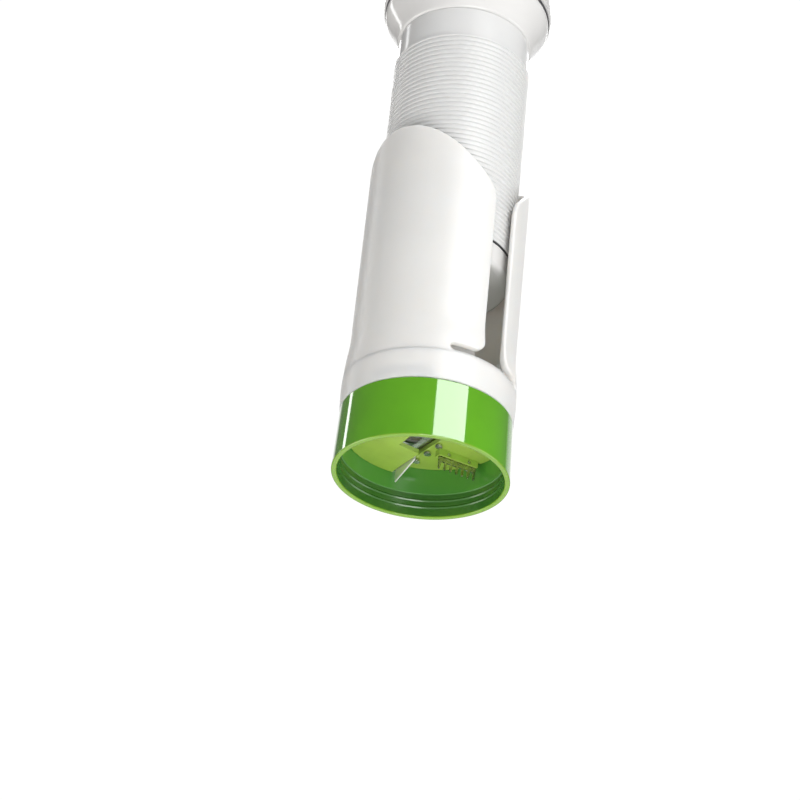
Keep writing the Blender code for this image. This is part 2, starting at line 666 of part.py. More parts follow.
def cutter_head_shell():
    """The green head: a short cup without a floor, with a spigot that locks into the collar."""
    profile = [(SPIGOT_R, SPIGOT_TOP), (SPIGOT_R, HEAD_HEIGHT), (HEAD_TOP_R, HEAD_HEIGHT),
               (HEAD_RIM_R, 2 * RIM_ROUND), (HEAD_RIM_R - RIM_ROUND, 0),
               (HEAD_MOUTH_R + RIM_ROUND, 0), (HEAD_MOUTH_R, 2 * RIM_ROUND)]
    for z in RIDGE_HEIGHTS:
        profile += [(HEAD_MOUTH_R, z - RIDGE_HALF), (HEAD_MOUTH_R - RIDGE_DEPTH, z),
                    (HEAD_MOUTH_R, z + RIDGE_HALF)]
    profile += [(HEAD_MOUTH_R, LEDGE_Z - LEDGE_SLOPE), (HEAD_BORE_R, LEDGE_Z), (HEAD_BORE_R, PLATE_CEILING),
                (SPIGOT_R - SPIGOT_WALL, PLATE_CEILING), (SPIGOT_R - SPIGOT_WALL, SPIGOT_TOP)]
    shell = turned("cutter_head_shell", profile, GREEN)
    for k in range(LUG_COUNT):
        lock = LUG_START_ANGLE + tau * k / LUG_COUNT
        join(shell, sector(f"lug_{k}", SPIGOT_R - SPIGOT_WALL / 2, SPIGOT_R + LUG_DEPTH, lock, LUG_HALF_ANGLE,
                           LUG_Z - LUG_HEIGHT / 2, LUG_Z + LUG_HEIGHT / 2, steps=3))
    for k, angle in enumerate(CLIP_ANGLES):
        top = ramp_underside(angle + CLIP_HALF_ANGLE) - PLATE_STEP * 2 * CLIP_HALF_ANGLE / tau - SEAT_GAP
        join(shell, sector(f"clip_{k}", HEAD_BORE_R - CLIP_REACH, HEAD_BORE_R + LIP_WIDTH / 3, angle,
                           CLIP_HALF_ANGLE, top - CLIP_HEIGHT, top, steps=3))
    soften(shell)
    return shell


def cutting_plate():
    """The ramped plate. It is swept once round and a little more, then its two ends are trimmed."""
    build_mesh = bmesh.new()
    corners = [(PLATE_HOLE_R, 0), (PLATE_R, 0), (PLATE_R, PLATE_THICK), (PLATE_HOLE_R, PLATE_THICK)]
    verts = [build_mesh.verts.new((r * cos(RAMP_START), r * sin(RAMP_START), PLATE_HIGH_Z + z))
             for r, z in corners]
    section = build_mesh.faces.new(verts)
    drop = -PLATE_STEP * RAMP_SWEEP / tau / PLATE_STEPS
    bmesh.ops.spin(build_mesh, geom=[section], cent=(0, 0, 0), axis=(0, 0, -1), dvec=(0, 0, drop),
                   angle=RAMP_SWEEP, steps=PLATE_STEPS, use_duplicate=False)
    plate = add_object("cutting_plate", mesh_from(build_mesh, "cutting_plate"), LIME)
    low = PLATE_HIGH_Z - 2 * PLATE_STEP
    middle = PLATE_HIGH_Z - PLATE_STEP / 2 + SEAT_GAP
    high = PLATE_HIGH_Z + 3 * PLATE_THICK
    cut(plate, block("low_end", (-2 * CUT_MARGIN, -FAR, low), (FAR, -SLOT_NEAR, middle - SEAT_GAP),
                     BLADE_DIRECTION))
    cut(plate, block("high_end", (0, -SLOT_FAR, middle), (FAR, END_TRIM_REACH, high),
                     BLADE_DIRECTION))
    cut(plate, block("window", (-CUT_MARGIN, -SLOT_NEAR, low), (WINDOW_REACH, PLATE_HOLE_R, high),
                     BLADE_DIRECTION))
    soften(plate)
    return plate


def ribbon_blade():
    """A ground steel strip over the slot, with holes for its rivets."""
    edge = SLOT_FAR - BLADE_OVERHANG
    section = [(edge, BLADE_THICK), (edge + BLADE_GRIND, 0), (BLADE_REAR, 0), (BLADE_REAR, BLADE_THICK)]
    middle = (BLADE_INNER_END + BLADE_OUTER_END) / 2
    u = Vector((cos(BLADE_DIRECTION), sin(BLADE_DIRECTION), 0))
    n = Vector((u.y, -u.x, 0))
    up = Vector((0, 0, 1))
    place = Matrix.Translation(u * middle + up * BLADE_Z) @ Matrix((n, up, n.cross(up))).transposed().to_4x4()
    blade = outlined("ribbon_blade", section, BLADE_OUTER_END - BLADE_INNER_END, place, STEEL)
    return blade


def slice_guide():
    """A steel strip on the low side of the slot. It hangs deeper towards the wall."""
    top = PLATE_HIGH_Z - PLATE_STEP + PLATE_THICK - GUIDE_TOP_GAP
    lip = PLATE_HIGH_Z - PLATE_STEP
    points = [(GUIDE_INNER_END, top), (GUIDE_INNER_END, lip - GUIDE_INNER_DROP),
              (GUIDE_OUTER_END, lip - GUIDE_OUTER_DROP), (GUIDE_OUTER_END, top)]
    u = Vector((cos(BLADE_DIRECTION), sin(BLADE_DIRECTION), 0))
    up = Vector((0, 0, 1))
    across = u.cross(up)
    aside = SLOT_NEAR + SEAT_GAP + GUIDE_THICK / 2
    place = Matrix.Translation(across * aside) @ Matrix((u, up, across)).transposed().to_4x4()
    return outlined("slice_guide", points, GUIDE_THICK, place, STEEL)


def ribbon_rivets(blade, plate):
    """Flush rivets through the blade and the cutting plate, and their holes."""
    first = BLADE_INNER_END + RIVET_INNER_MARGIN
    last = BLADE_OUTER_END - RIVET_OUTER_MARGIN
    for k in range(RIVET_COUNT):
        x, y = beside_blade(first + (last - first) * k / (RIVET_COUNT - 1), RIVET_OFFSET)
        foot = ramp_underside(atan2(y, x)) - SEAT_GAP
        crown = BLADE_Z + BLADE_THICK
        for piece in (blade, plate):
            cut(piece, rod(f"{piece.name}_rivet_hole_{k}", x, y, foot - PLATE_THICK, crown + PLATE_THICK,
                           RIVET_SHANK_R + SEAT_GAP))
        shank = rod(f"ribbon_rivet_{k + 1}", x, y, foot - RIVET_FOOT_HEIGHT, crown, RIVET_SHANK_R, spec=STEEL)
        seat = foot - RIVET_LEAN
        join(shank, rod(f"rivet_foot_{k}", x, y, seat - RIVET_FOOT_HEIGHT, seat, RIVET_HEAD_R))
        join(shank, rod(f"rivet_head_{k}", x, y, crown + SEAT_GAP, crown + 2 * SEAT_GAP, RIVET_HEAD_R,
                        RIVET_HEAD_R * RIVET_CROWN_SHARE))
        join(shank, rod(f"rivet_stem_{k}", x, y, crown - SEAT_GAP / 2, crown + 1.5 * SEAT_GAP,
                        RIVET_SHANK_R * RIVET_CROWN_SHARE))
        soften(shank)


def comb_frame():
    """Along the comb, up, and across it, from its inner end at height zero."""
    along = Vector((cos(COMB_DIRECTION), sin(COMB_DIRECTION), 0))
    up = Vector((0, 0, 1))
    turn = Matrix((along, up, along.cross(up))).transposed().to_4x4()
    end_r = PLATE_R - COMB_END_MARGIN
    outer = Vector((end_r * cos(COMB_END_ANGLE), end_r * sin(COMB_END_ANGLE), 0))
    return Matrix.Translation(outer - along * COMB_LENGTH) @ turn


def comb_outline(crown):
    """The comb's edge: teeth below, and short cutting teeth above."""
    pitch = (COMB_LENGTH - COMB_TOOTH_WIDTH) / (COMB_TEETH - 1)
    below = []
    above = []
    for k in range(COMB_TEETH):
        start = k * pitch
        end = start + COMB_TOOTH_WIDTH
        tip = COMB_BAR_Z - COMB_LOWER_TEETH
        below += [(start, COMB_BAR_Z), (start + COMB_TOOTH_TAPER, tip), (end - COMB_TOOTH_TAPER, tip),
                  (end, COMB_BAR_Z)]
        if k < COMB_TEETH - 1:
            below.append((end + (pitch - COMB_TOOTH_WIDTH) / 2, COMB_BAR_Z + COMB_GULLET))
        above += [(start, crown - COMB_CUT_DEPTH), (start, crown - COMB_POINT_DROP),
                  ((start + end) / 2, crown), (end, crown - COMB_POINT_DROP), (end, crown - COMB_CUT_DEPTH)]
        if k < COMB_TEETH - 1:
            above.append((end + (pitch - COMB_TOOTH_WIDTH) / 2, crown - COMB_CUT_DEPTH - COMB_GULLET))
    return below + above[::-1]


def comb_blade(plate):
    """The comb blade, held by pins in a rail under the cutting plate."""
    frame = comb_frame()
    crown = BLADE_Z + COMB_CROWN_RISE
    comb = outlined("comb_blade", comb_outline(crown), COMB_THICK, frame, STEEL)
    rail_low = COMB_BAR_Z + COMB_BAR_HEIGHT + SEAT_GAP
    rail_high = PLATE_HIGH_Z - PLATE_STEP / 4 + PLATE_THICK / 2
    rail_points = [(-RAIL_OVERRUN, rail_low), (COMB_LENGTH + SEAT_GAP / 2, rail_low),
                   (COMB_LENGTH + SEAT_GAP / 2, rail_high), (-RAIL_OVERRUN, rail_high)]
    join(plate, outlined("comb_rail", rail_points, RAIL_WIDTH, frame))
    slot_low = rail_low - CUT_MARGIN
    slot_high = rail_high + 2 * PLATE_THICK
    slot_end = COMB_LENGTH + 4 * CUT_MARGIN
    slot_points = [(-SEAT_GAP, slot_low), (slot_end, slot_low), (slot_end, slot_high), (-SEAT_GAP, slot_high)]
    cut(plate, outlined("comb_slot", slot_points, COMB_THICK + 2 * SEAT_GAP, frame))
    pin_z = rail_low + PIN_RISE
    for k, along in enumerate((PIN_END_MARGIN, COMB_LENGTH - PIN_END_MARGIN)):
        place = frame @ Matrix.Translation((along, pin_z, 0))
        for piece in (plate, comb):
            hole = rod(f"{piece.name}_pin_hole_{k}", 0, 0, -RAIL_WIDTH, RAIL_WIDTH, PIN_R + SEAT_GAP,
                       segments=PIN_SEGMENTS)
            hole.matrix_world = place
            cut(piece, hole)
        pin = rod(f"comb_pin_{k + 1}", 0, 0, -RAIL_WIDTH / 2, RAIL_WIDTH / 2, PIN_R, spec=STEEL,
                  segments=PIN_SEGMENTS)
        pin.matrix_world = place
    return comb


def head_seal():
    """The soft ring above the head's spigot."""
    low = SPIGOT_TOP + SEAT_GAP
    ring = turned("head_seal", [(SOCKET_R - SEAT_GAP, low + SEAL_HEIGHT), (SOCKET_R - SEAT_GAP, low),
                                (SPIGOT_R - SPIGOT_WALL, low), (SPIGOT_R - SPIGOT_WALL, low + SEAL_HEIGHT)],
                  SEAL)
    soften(ring)
    return ring


def build():
    """Make every piece in its place."""
    body_collar()
    head_seal()
    grip("front_grip", 0.0)
    grip("rear_grip", pi)
    feed_tube()
    glide_ring()
    food_holder()
    prong_plate()
    screws("prong_screw", PRONG_SCREW_CIRCLE_R, HOLDER_FOOT_Z - SEAT_GAP - PRONG_PLATE_THICK,
           HOLDER_FOOT_Z + HOLDER_FLOOR - SEAT_GAP)
    knob()
    cutter_head_shell()
    plate = cutting_plate()
    blade = ribbon_blade()
    ribbon_rivets(blade, plate)
    slice_guide()
    comb_blade(plate)


clear_scene()
PARTS = new_collection("spiralizer")
CUTTERS = new_collection("cutters")
build()
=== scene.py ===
"""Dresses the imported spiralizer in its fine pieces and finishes, with a plain studio and a camera."""
from math import acos, atan2, ceil, cos, pi, radians, sin, tan, tau

import bmesh
import bpy
from bpy.props import FloatProperty, FloatVectorProperty, IntProperty, PointerProperty
from mathutils import Matrix, Vector


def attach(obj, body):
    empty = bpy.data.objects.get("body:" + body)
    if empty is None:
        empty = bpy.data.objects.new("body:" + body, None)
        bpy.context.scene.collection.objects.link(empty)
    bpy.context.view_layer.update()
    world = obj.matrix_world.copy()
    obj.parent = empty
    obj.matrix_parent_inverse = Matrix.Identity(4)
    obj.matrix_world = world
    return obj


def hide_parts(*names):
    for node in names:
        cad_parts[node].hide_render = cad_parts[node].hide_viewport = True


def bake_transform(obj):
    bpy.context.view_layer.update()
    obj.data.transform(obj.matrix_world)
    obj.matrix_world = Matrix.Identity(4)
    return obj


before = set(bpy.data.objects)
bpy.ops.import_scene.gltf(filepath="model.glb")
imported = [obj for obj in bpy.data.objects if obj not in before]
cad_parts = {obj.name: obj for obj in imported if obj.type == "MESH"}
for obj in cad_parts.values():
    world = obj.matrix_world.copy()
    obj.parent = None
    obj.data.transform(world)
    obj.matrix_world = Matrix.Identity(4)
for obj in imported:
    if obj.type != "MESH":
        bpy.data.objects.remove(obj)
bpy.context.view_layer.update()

bl_info = {
    "name": "Spiralizer",
    "version": (1, 0, 0),
    "blender": (4, 5, 0),
    "location": "3D View > Sidebar > Spiralizer",
    "description": "Builds the fine pieces, finishes and studio of a hand-held spiralizer",
    "category": "Object",
}

MM = 0.001
SEAT = 0.3 * MM

# Measures that the fine pieces share with the solids, in metres
HEAD_HEIGHT = 27.1 * MM
SPIGOT_TOP = 33.6 * MM
SPIGOT_R = 34.1 * MM
BORE_R = 34.2 * MM
BODY_BORE_R = 32.7 * MM
SOCKET_R = 34.4 * MM
SOCKET_TOP = 35.1 * MM
COLLAR_TOP = 42.0 * MM
THREAD_FOOT = 106.4 * MM
THREAD_TOP = 206.9 * MM
NECK_TOP = 222.1 * MM
PLATE_HIGH = 22.9 * MM
PLATE_STEP = 4.4 * MM
RAMP_START = radians(150)
BLADE_DIRECTION = radians(163.5)
BLADE_Z = 25.2 * MM
COMB_DIRECTION = radians(71.2)
COMB_INNER = (-5.3975 * MM, 15.4978 * MM)
LOCKS = tuple(radians(-80 + 120 * k) for k in range(3))
JAW_FOOT = 131.0 * MM
JAW_HALF_ANGLE = radians(35)
JAW_CLEARANCE = 1.5 * MM
JAW_LIFT = 0.12 * MM
GRIP_WALL = 2.4 * MM
COLLAR_SPLIT = 41.0 * MM
STRIP_ANGLE = radians(2.5)
RIDGE_HEIGHTS = (4.8 * MM, 8.0 * MM)
RIDGE_HALF = 0.65 * MM
CLIP_BEARINGS = (radians(20), radians(-70), radians(-150))
LUG_HALF_ANGLE = radians(4)
LINER_R = 30.9 * MM
SCREW_HOLE_R = 1.8 * MM
PRONG_SCREW_CIRCLE = 7.0 * MM
KNOB_SCREW_CIRCLE = 18.0 * MM
KNOB_TOP = 262.0 * MM

# Heights in millimetres where the grips' flare is cut into strips, so that it bends smoothly
FLARE_CUTS = (43.5, 45.6, 48, 50, 52, 54, 56, 58, 60.5, 63, 66)

# The thread's groove is flat up to the first of these distances from its middle, and reaches the rib at the second,
# in shares of the pitch
GROOVE = (0.13, 0.27)

# The view of the photograph: 800 pixels wide and high, with the object's origin at ORIGIN_PIXEL
FRAME_PIXELS = 800
FOCAL_PIXELS = 2527.13
ORIGIN_PIXEL = (420.232, 478.483)
SENSOR_MM = 36.0

# Each lamp's name, the setting of its power, its width and height, its distance from the head, its bearing from
# the camera in degrees, its height in degrees or None for as high as the camera is low, and its colour
NEUTRAL = (1.0, 1.0, 1.0)
LAMPS = (
    ("Key light", "key_power", 0.86, 0.6, 1.3, 31, None, NEUTRAL),
    ("Strip light", "strip_power", 0.13, 0.9, 1.3, -122.5, None, NEUTRAL),
    ("Fill light", "fill_power", 0.5, 0.5, 0.9, 14, -48, NEUTRAL),
    ("Side fill", "side_power", 0.5, 0.5, 0.9, -95, -35, (1.0, 0.96, 0.925)),
    ("Edge fill", "edge_power", 0.5, 0.5, 0.9, 90, -30, NEUTRAL),
    ("Back light", "back_power", 0.8, 0.8, 1.3, 180, 58, NEUTRAL),
)
LIT_POINT = Vector((0, 0, 0.05))


def length(name, description, default):
    """A size in metres."""
    return FloatProperty(name=name, description=description, default=default, precision=5,
                         subtype="DISTANCE", unit="LENGTH")


def angle(name, description, degrees):
    """An angle, kept in radians."""
    return FloatProperty(name=name, description=description, default=radians(degrees),
                         subtype="ANGLE", unit="ROTATION")


def brightness(name, description, default):
    """Brightness of a part of the surroundings."""
    return FloatProperty(name=name, description=description, default=default, min=0.0)


def watts(name, description, default):
    """A lamp's power."""
    return FloatProperty(name=name, description=description, default=default, min=0.0, unit="POWER")


def colour(name, description, default):
    """A linear colour."""
    return FloatVectorProperty(name=name, description=description, default=default, size=3,
                               subtype="COLOR", min=0.0, max=1.0)


class StageSettings(bpy.types.PropertyGroup):
    """The studio and the camera."""

    floor_height: length("Floor height", "Height of the floor below the spiralizer's rim", -0.72)
    floor_reach: length("Floor reach", "Half the width of the floor", 5.0)
    floor_colour: colour("Floor colour", "Colour of the plain floor", (0.86, 0.86, 0.855))
    sky_light: brightness("Sky light", "Brightness of the pale surroundings", 0.155)
    backdrop_light: brightness("Backdrop light", "Brightness behind the spiralizer", 1.05)
    side_light: brightness("Side light", "Brightness behind the spiralizer, at the right", 0.8)
    top_light: brightness("Top light", "Brightness overhead", 0.95)
    key_power: watts("Key light", "Power of the large soft light at the right", 11.4)
    strip_power: watts("Strip light", "Power of the narrow light at the left", 1.4)
    fill_power: watts("Fill light", "Power of the soft light from below", 4.1)
    side_power: watts("Side fill", "Power of the soft warm light low at the left", 2.15)
    edge_power: watts("Edge fill", "Power of the soft light low at the right", 1.2)
    back_power: watts("Back light", "Power of the soft light high behind the spiralizer", 9.0)
    azimuth: angle("Azimuth", "Direction of the camera round the spiralizer", 44.0)
    elevation: angle("Elevation", "Height of the camera, below the horizon here", -28.051)
    roll: angle("Roll", "Turn of the camera about its line of sight", 5.855)
    distance: length("Distance", "Distance of the camera from the middle of the rim", 1.03811)


class BodySettings(bpy.types.PropertyGroup):
    """The white body, which is one moulding with two sprung grips."""

    white: colour("White", "Colour of the satin plastic", (0.825, 0.812, 0.787))
    grip_radius: length("Grip radius", "Outer radius of the grips", 35.1 * MM)
    edge_reach: length("Edge reach", "Distance of a grip's side edge from the middle plane", 6.1 * MM)
    top_height: length("Top height", "Height of a grip's top", 156.7 * MM)
    top_slope: FloatProperty(name="Top slope", description="Fall of a grip's top edge for its reach", default=1.026)
    corner_radius: length("Corner radius", "Radius of a grip's upper corners", 14.5 * MM)
    heel_radius: length("Heel radius", "Radius of a grip's lower corners", 5.0 * MM)
    slit_height: length("Slit height", "Width of the slits that free the grips", 3.6 * MM)
    slit_reach: length("Slit reach", "Distance of a slit's end from the middle plane", 20.9 * MM)
    edge_round: length("Edge rounding", "Rounding of the body's edges", 1.05 * MM)
    rib_count: IntProperty(name="Jaw ribs", description="Thread ribs inside each grip", default=6)


class PlungerSettings(bpy.types.PropertyGroup):
    """The threaded plunger, its knob and its food holder."""

    gloss_white: colour("Gloss white", "Colour of the glossy plastic", (0.765, 0.757, 0.745))
    # The tube's white is a neutral tone of its own, made greyer than the body's white with painted shade.
    tube_white_with_painted_shade: colour("Tube white", "Colour of the ribbed tube", (0.745, 0.745, 0.74))
    crest_radius: length("Crest radius", "Radius over the thread's ribs", 30.3 * MM)
    rib_depth: length("Rib depth", "Depth of the thread", 0.6 * MM)
    pitch: length("Pitch", "Rise of the thread for one turn", 2.4 * MM)
    neck_radius: length("Neck radius", "Radius of the plain neck", 29.4 * MM)
    knob_seam: length("Seam height", "Height of the seam under the knob's cap", 237.4 * MM)
    prong_count: IntProperty(name="Prongs", description="Prongs on the food holder", default=6)


class HeadSettings(bpy.types.PropertyGroup):
    """The green cutter head, its cutting plate and its blades."""

    green: colour("Green", "Colour of the glossy head", (0.113, 0.375, 0.010))
    # The colour inside the head is painted shade: a darker green for the inside of the cup, which lies in shade.
    inside_green_painted_shade: colour("Inside green with painted shade", "Colour inside the head", (0.08, 0.295, 0.042))
    lime: colour("Lime", "Colour of the cutting plate", (0.33, 0.505, 0.07))
    rim_radius: length("Rim radius", "Outer radius of the rim", 37.0 * MM)
    top_radius: length("Top radius", "Outer radius under the body", 36.25 * MM)
    mouth_radius: length("Mouth radius", "Inner radius at the rim", 34.7 * MM)
    lip_round: length("Lip rounding", "Rounding of the rim", 0.6 * MM)
    ledge_height: length("Ledge height", "Height of the ledge inside the mouth", 11.0 * MM)
    tooth_count: IntProperty(name="Comb teeth", description="Teeth on the comb blade", default=7)


# Meshes


def mm(*corners):
    """Corners given in millimetres, in metres."""
    return [tuple(value * MM for value in corner) for corner in corners]


def smooth_curve(points, steps):
    """Points on a smooth curve through the given ones."""
    made = []
    ends = [points[0]] + list(points) + [points[-1]]
    for before, start, end, after in zip(ends, ends[1:], ends[2:], ends[3:]):
        for k in range(steps):
            t = k / steps
            made.append(tuple(0.5 * (2 * b + (c - a) * t + (2 * a - 5 * b + 4 * c - d) * t ** 2
                                     + (3 * b - a - 3 * c + d) * t ** 3)
                              for a, b, c, d in zip(before, start, end, after)))
    return made + [tuple(points[-1])]


def rounded(corners, steps=4):
    """Points of an outline whose corners (x, y, radius) are rounded."""
    points = []
    for i, (x, y, radius) in enumerate(corners):
        if radius == 0:
            points.append((x, y))
            continue
        here = Vector((x, y))
        before = (Vector(corners[i - 1][:2]) - here).normalized()
        after = (Vector(corners[(i + 1) % len(corners)][:2]) - here).normalized()
        half = before.angle(after) / 2
        centre = here + (before + after).normalized() * radius / sin(half)
        first = here + before * radius / tan(half) - centre
        last = here + after * radius / tan(half) - centre
        turn = first.angle_signed(last)
        for k in range(steps + 1):
            spoke = first.copy()
            spoke.rotate(Matrix.Rotation(-turn * k / steps, 2))
            points.append(tuple(centre + spoke))
    return points


def turned(profile, segments=144, ring=True):
    """A turned shell. A ring's profile is a closed loop, and a solid's starts and ends on the axis."""
    mesh = bmesh.new()
    rows = []
    for r, z in profile:
        if abs(r) < 1e-7:
            rows.append([mesh.verts.new((0, 0, z))] * segments)
        else:
            rows.append([mesh.verts.new((r * cos(tau * k / segments), r * sin(tau * k / segments), z))
                         for k in range(segments)])
    for low, high in zip(rows, rows[1:] + (rows[:1] if ring else [])):
        for k in range(segments):
            j = (k + 1) % segments
            mesh.faces.new(list(dict.fromkeys((low[k], low[j], high[j], high[k]))))
    bmesh.ops.recalc_face_normals(mesh, faces=mesh.faces[:])
    return mesh


def extruded(outline, low, high, place=Matrix.Identity(4)):
    """A flat outline made solid between two depths."""
    mesh = bmesh.new()
    layers = [[mesh.verts.new((x, y, z)) for x, y in outline] for z in (low, high)]
    mesh.faces.new(layers[0])
    mesh.faces.new(layers[1])
    for k in range(len(outline)):
        j = (k + 1) % len(outline)
        mesh.faces.new((layers[0][k], layers[0][j], layers[1][j], layers[1][k]))
    bmesh.ops.recalc_face_normals(mesh, faces=mesh.faces[:])
    mesh.transform(place)
    return mesh


def arc_block(inner, outer, centre, half, low, high, steps=8):
    """A piece of a ring between two radii, two angles and two heights."""
    angles = [centre + half * (2 * k / steps - 1) for k in range(steps + 1)]
    outline = [(outer * cos(a), outer * sin(a)) for a in angles]
    outline += [(inner * cos(a), inner * sin(a)) for a in reversed(angles)]
    return extruded(outline, low, high)


def box_between(low, high, turn=0.0):
    """A box between two corners, turned about the upright axis."""
    low, high = Vector(low), Vector(high)
    mesh = bmesh.new()
    bmesh.ops.create_cube(mesh, size=1)
    placed = Matrix.Translation((low + high) / 2) @ Matrix.Diagonal((*(high - low), 1))
    mesh.transform(Matrix.Rotation(turn, 4, "Z") @ placed)
    return mesh


def sliced(mesh, place, across, clear=False):
    """Cut the mesh along a plane. Where asked, what lies past the plane goes."""
    everything = mesh.verts[:] + mesh.edges[:] + mesh.faces[:]
    bmesh.ops.bisect_plane(mesh, geom=everything, dist=1e-7, plane_co=place, plane_no=across, clear_outer=clear)


def round_bar(x, y, low, high, radius, segments=32):
    """An upright round bar."""
    mesh = bmesh.new()
    bmesh.ops.create_cone(mesh, cap_ends=True, segments=segments, radius1=radius, radius2=radius,
                          depth=high - low, matrix=Matrix.Translation((x, y, (low + high) / 2)))
    return mesh


def screw_holes(circle, low, high):
    """Three round bars that cut the holes for a ring of screws."""
    return [round_bar(circle * cos(tau * k / 3), circle * sin(tau * k / 3), low, high, SCREW_HOLE_R)
            for k in range(3)]


def new_object(name, mesh_or_data, finish=None):
    """An object at the origin with its finish."""
    if isinstance(mesh_or_data, bmesh.types.BMesh):
        data = bpy.data.meshes.new(name)
        mesh_or_data.to_mesh(data)
        mesh_or_data.free()
    else:
        data = mesh_or_data
    obj = bpy.data.objects.new(name, data)
    bpy.context.scene.collection.objects.link(obj)
    if finish:
        data.materials.append(finish)
    return obj


def baked(obj):
    """The object with its modifiers made part of a plain mesh."""
    bpy.context.view_layer.update()
    graph = bpy.context.evaluated_depsgraph_get()
    data = bpy.data.meshes.new_from_object(obj.evaluated_get(graph))
    obj.modifiers.clear()
    obj.data = data
    return obj


def carved(obj, operation, *tools):
    """The object after exact Booleans with the tools' meshes."""
    helpers = []
    for k, tool in enumerate(tools):
        helper = new_object(f"{obj.name}_tool_{k}", tool)
        change = obj.modifiers.new(helper.name, "BOOLEAN")
        change.operation = operation
        change.solver = "EXACT"
        change.object = helper
        helpers.append(helper)
    baked(obj)
    for helper in helpers:
        bpy.data.objects.remove(helper)
    return obj


def crisp(obj, degrees=32.0, edge_round=0.0):
    """Round the edges where asked, then shade smooth with crisp edges and level faces."""
    if edge_round:
        bevel = obj.modifiers.new("Rounded edges", "BEVEL")
        bevel.width = edge_round
        bevel.segments = 2
        bevel.limit_method = "ANGLE"
        bevel.angle_limit = radians(30)
        baked(obj)
    obj.data.shade_smooth()
    obj.data.set_sharp_from_angle(angle=radians(degrees))
    level = obj.modifiers.new("Level faces", "WEIGHTED_NORMAL")
    level.keep_sharp = True
    return obj


def copy_of(node):
    """A merged copy of a CAD node's mesh, which arrives as loose triangles."""
    mesh = bmesh.new()
    mesh.from_mesh(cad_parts[node].data)
    bmesh.ops.remove_doubles(mesh, verts=mesh.verts[:], dist=1e-6)
    bmesh.ops.dissolve_limit(mesh, angle_limit=radians(0.6), verts=mesh.verts[:], edges=mesh.edges[:])
    return mesh


def settle(obj, body, slot, *nodes):
    """The finished piece rides on its body and stands for its nodes, which it hides. Its slot is not used."""
    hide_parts(*nodes)
    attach(obj, body)
    return obj


# Node trees


def plugged(tree, kind, values=(), **settings):
    """A new node with its settings, its inputs set to values or linked to other nodes' outputs."""
    node = tree.nodes.new(kind)
    for name, value in settings.items():
        setattr(node, name, value)
    for key, value in dict(values).items():
        if isinstance(value, bpy.types.NodeSocket):
            tree.links.new(value, node.inputs[key])
        else:
            node.inputs[key].default_value = value
    return node


def calc(tree, operation, *values):
    """The result of a Math node."""
    return plugged(tree, "ShaderNodeMath", enumerate(values), operation=operation).outputs[0]


def ranged(tree, source, low, high, to_low, to_high, smooth=False):
    """A value moved from one range to another."""
    kind = "SMOOTHSTEP" if smooth else "LINEAR"
    return plugged(tree, "ShaderNodeMapRange", {"Value": source, "From Min": low, "From Max": high,
                                                "To Min": to_low, "To Max": to_high},
                   interpolation_type=kind).outputs[0]


def new_tree(name, sockets):
    """An empty Geometry Nodes tree with named inputs, and its input node."""
    tree = bpy.data.node_groups.new(name, "GeometryNodeTree")
    tree.interface.new_socket("Geometry", in_out="OUTPUT", socket_type="NodeSocketGeometry")
    for label, kind in sockets:
        tree.interface.new_socket(label, in_out="INPUT", socket_type=f"NodeSocket{kind}")
    return tree, tree.nodes.new("NodeGroupInput").outputs


def closed_tree(tree, geometry, finish):
    """The tree ends in plain geometry with its finish."""
    real = plugged(tree, "GeometryNodeRealizeInstances", {"Geometry": geometry}).outputs[0]
    dressed = plugged(tree, "GeometryNodeSetMaterial", {"Geometry": real, "Material": finish}).outputs[0]
    plugged(tree, "NodeGroupOutput", {"Geometry": dressed})
    return tree


def grown(name, tree, values):
    """An object whose plain mesh a Geometry Nodes tree has made."""
    obj = new_object(name, bpy.data.meshes.new(name))
    maker = obj.modifiers.new(tree.name, "NODES")
    maker.node_group = tree
    for item in tree.interface.items_tree:
        if item.item_type == "SOCKET" and item.in_out == "INPUT":
            maker[item.identifier] = values[item.name]
    return baked(obj)


def thread_tree():
    """A right-hand rib wound round the upright axis, as one long strip that closes on itself."""
    tree, given = new_tree("Wound ribs", [
        ("Crest radius", "Float"), ("Depth", "Float"), ("Pitch", "Float"), ("Foot", "Float"),
        ("Turns", "Int"), ("Steps round", "Int"), ("Steps up", "Int"), ("Finish", "Material")])
    across = calc(tree, "ADD", calc(tree, "MULTIPLY", given["Turns"], given["Steps round"]), 1.0)
    strip = plugged(tree, "GeometryNodeMeshGrid", {
        "Size X": given["Turns"], "Size Y": 1.0, "Vertices X": across, "Vertices Y": given["Steps up"]})
    place = plugged(tree, "ShaderNodeSeparateXYZ",
                    {0: tree.nodes.new("GeometryNodeInputPosition").outputs[0]}).outputs
    turn = calc(tree, "ADD", place["X"], calc(tree, "DIVIDE", given["Turns"], 2.0))
    rise = calc(tree, "ADD", place["Y"], 0.5)
    from_groove = calc(tree, "ABSOLUTE", place["Y"])
    groove = ranged(tree, from_groove, *GROOVE, 1.0, 0.0, smooth=True)
    radius = calc(tree, "SUBTRACT", given["Crest radius"], calc(tree, "MULTIPLY", given["Depth"], groove))
    bearing = calc(tree, "MULTIPLY", turn, tau)
    height = calc(tree, "MULTIPLY_ADD", calc(tree, "ADD", turn, rise), given["Pitch"], given["Foot"])
    wound = plugged(tree, "ShaderNodeCombineXYZ", {
        "X": calc(tree, "MULTIPLY", radius, calc(tree, "COSINE", bearing)),
        "Y": calc(tree, "MULTIPLY", radius, calc(tree, "SINE", bearing)), "Z": height})
    moved = plugged(tree, "GeometryNodeSetPosition", {"Geometry": strip.outputs["Mesh"],
                                                      "Position": wound.outputs[0]})
    joined = plugged(tree, "GeometryNodeMergeByDistance", {"Geometry": moved.outputs[0], "Distance": 2e-6})
    return closed_tree(tree, joined.outputs[0], given["Finish"])


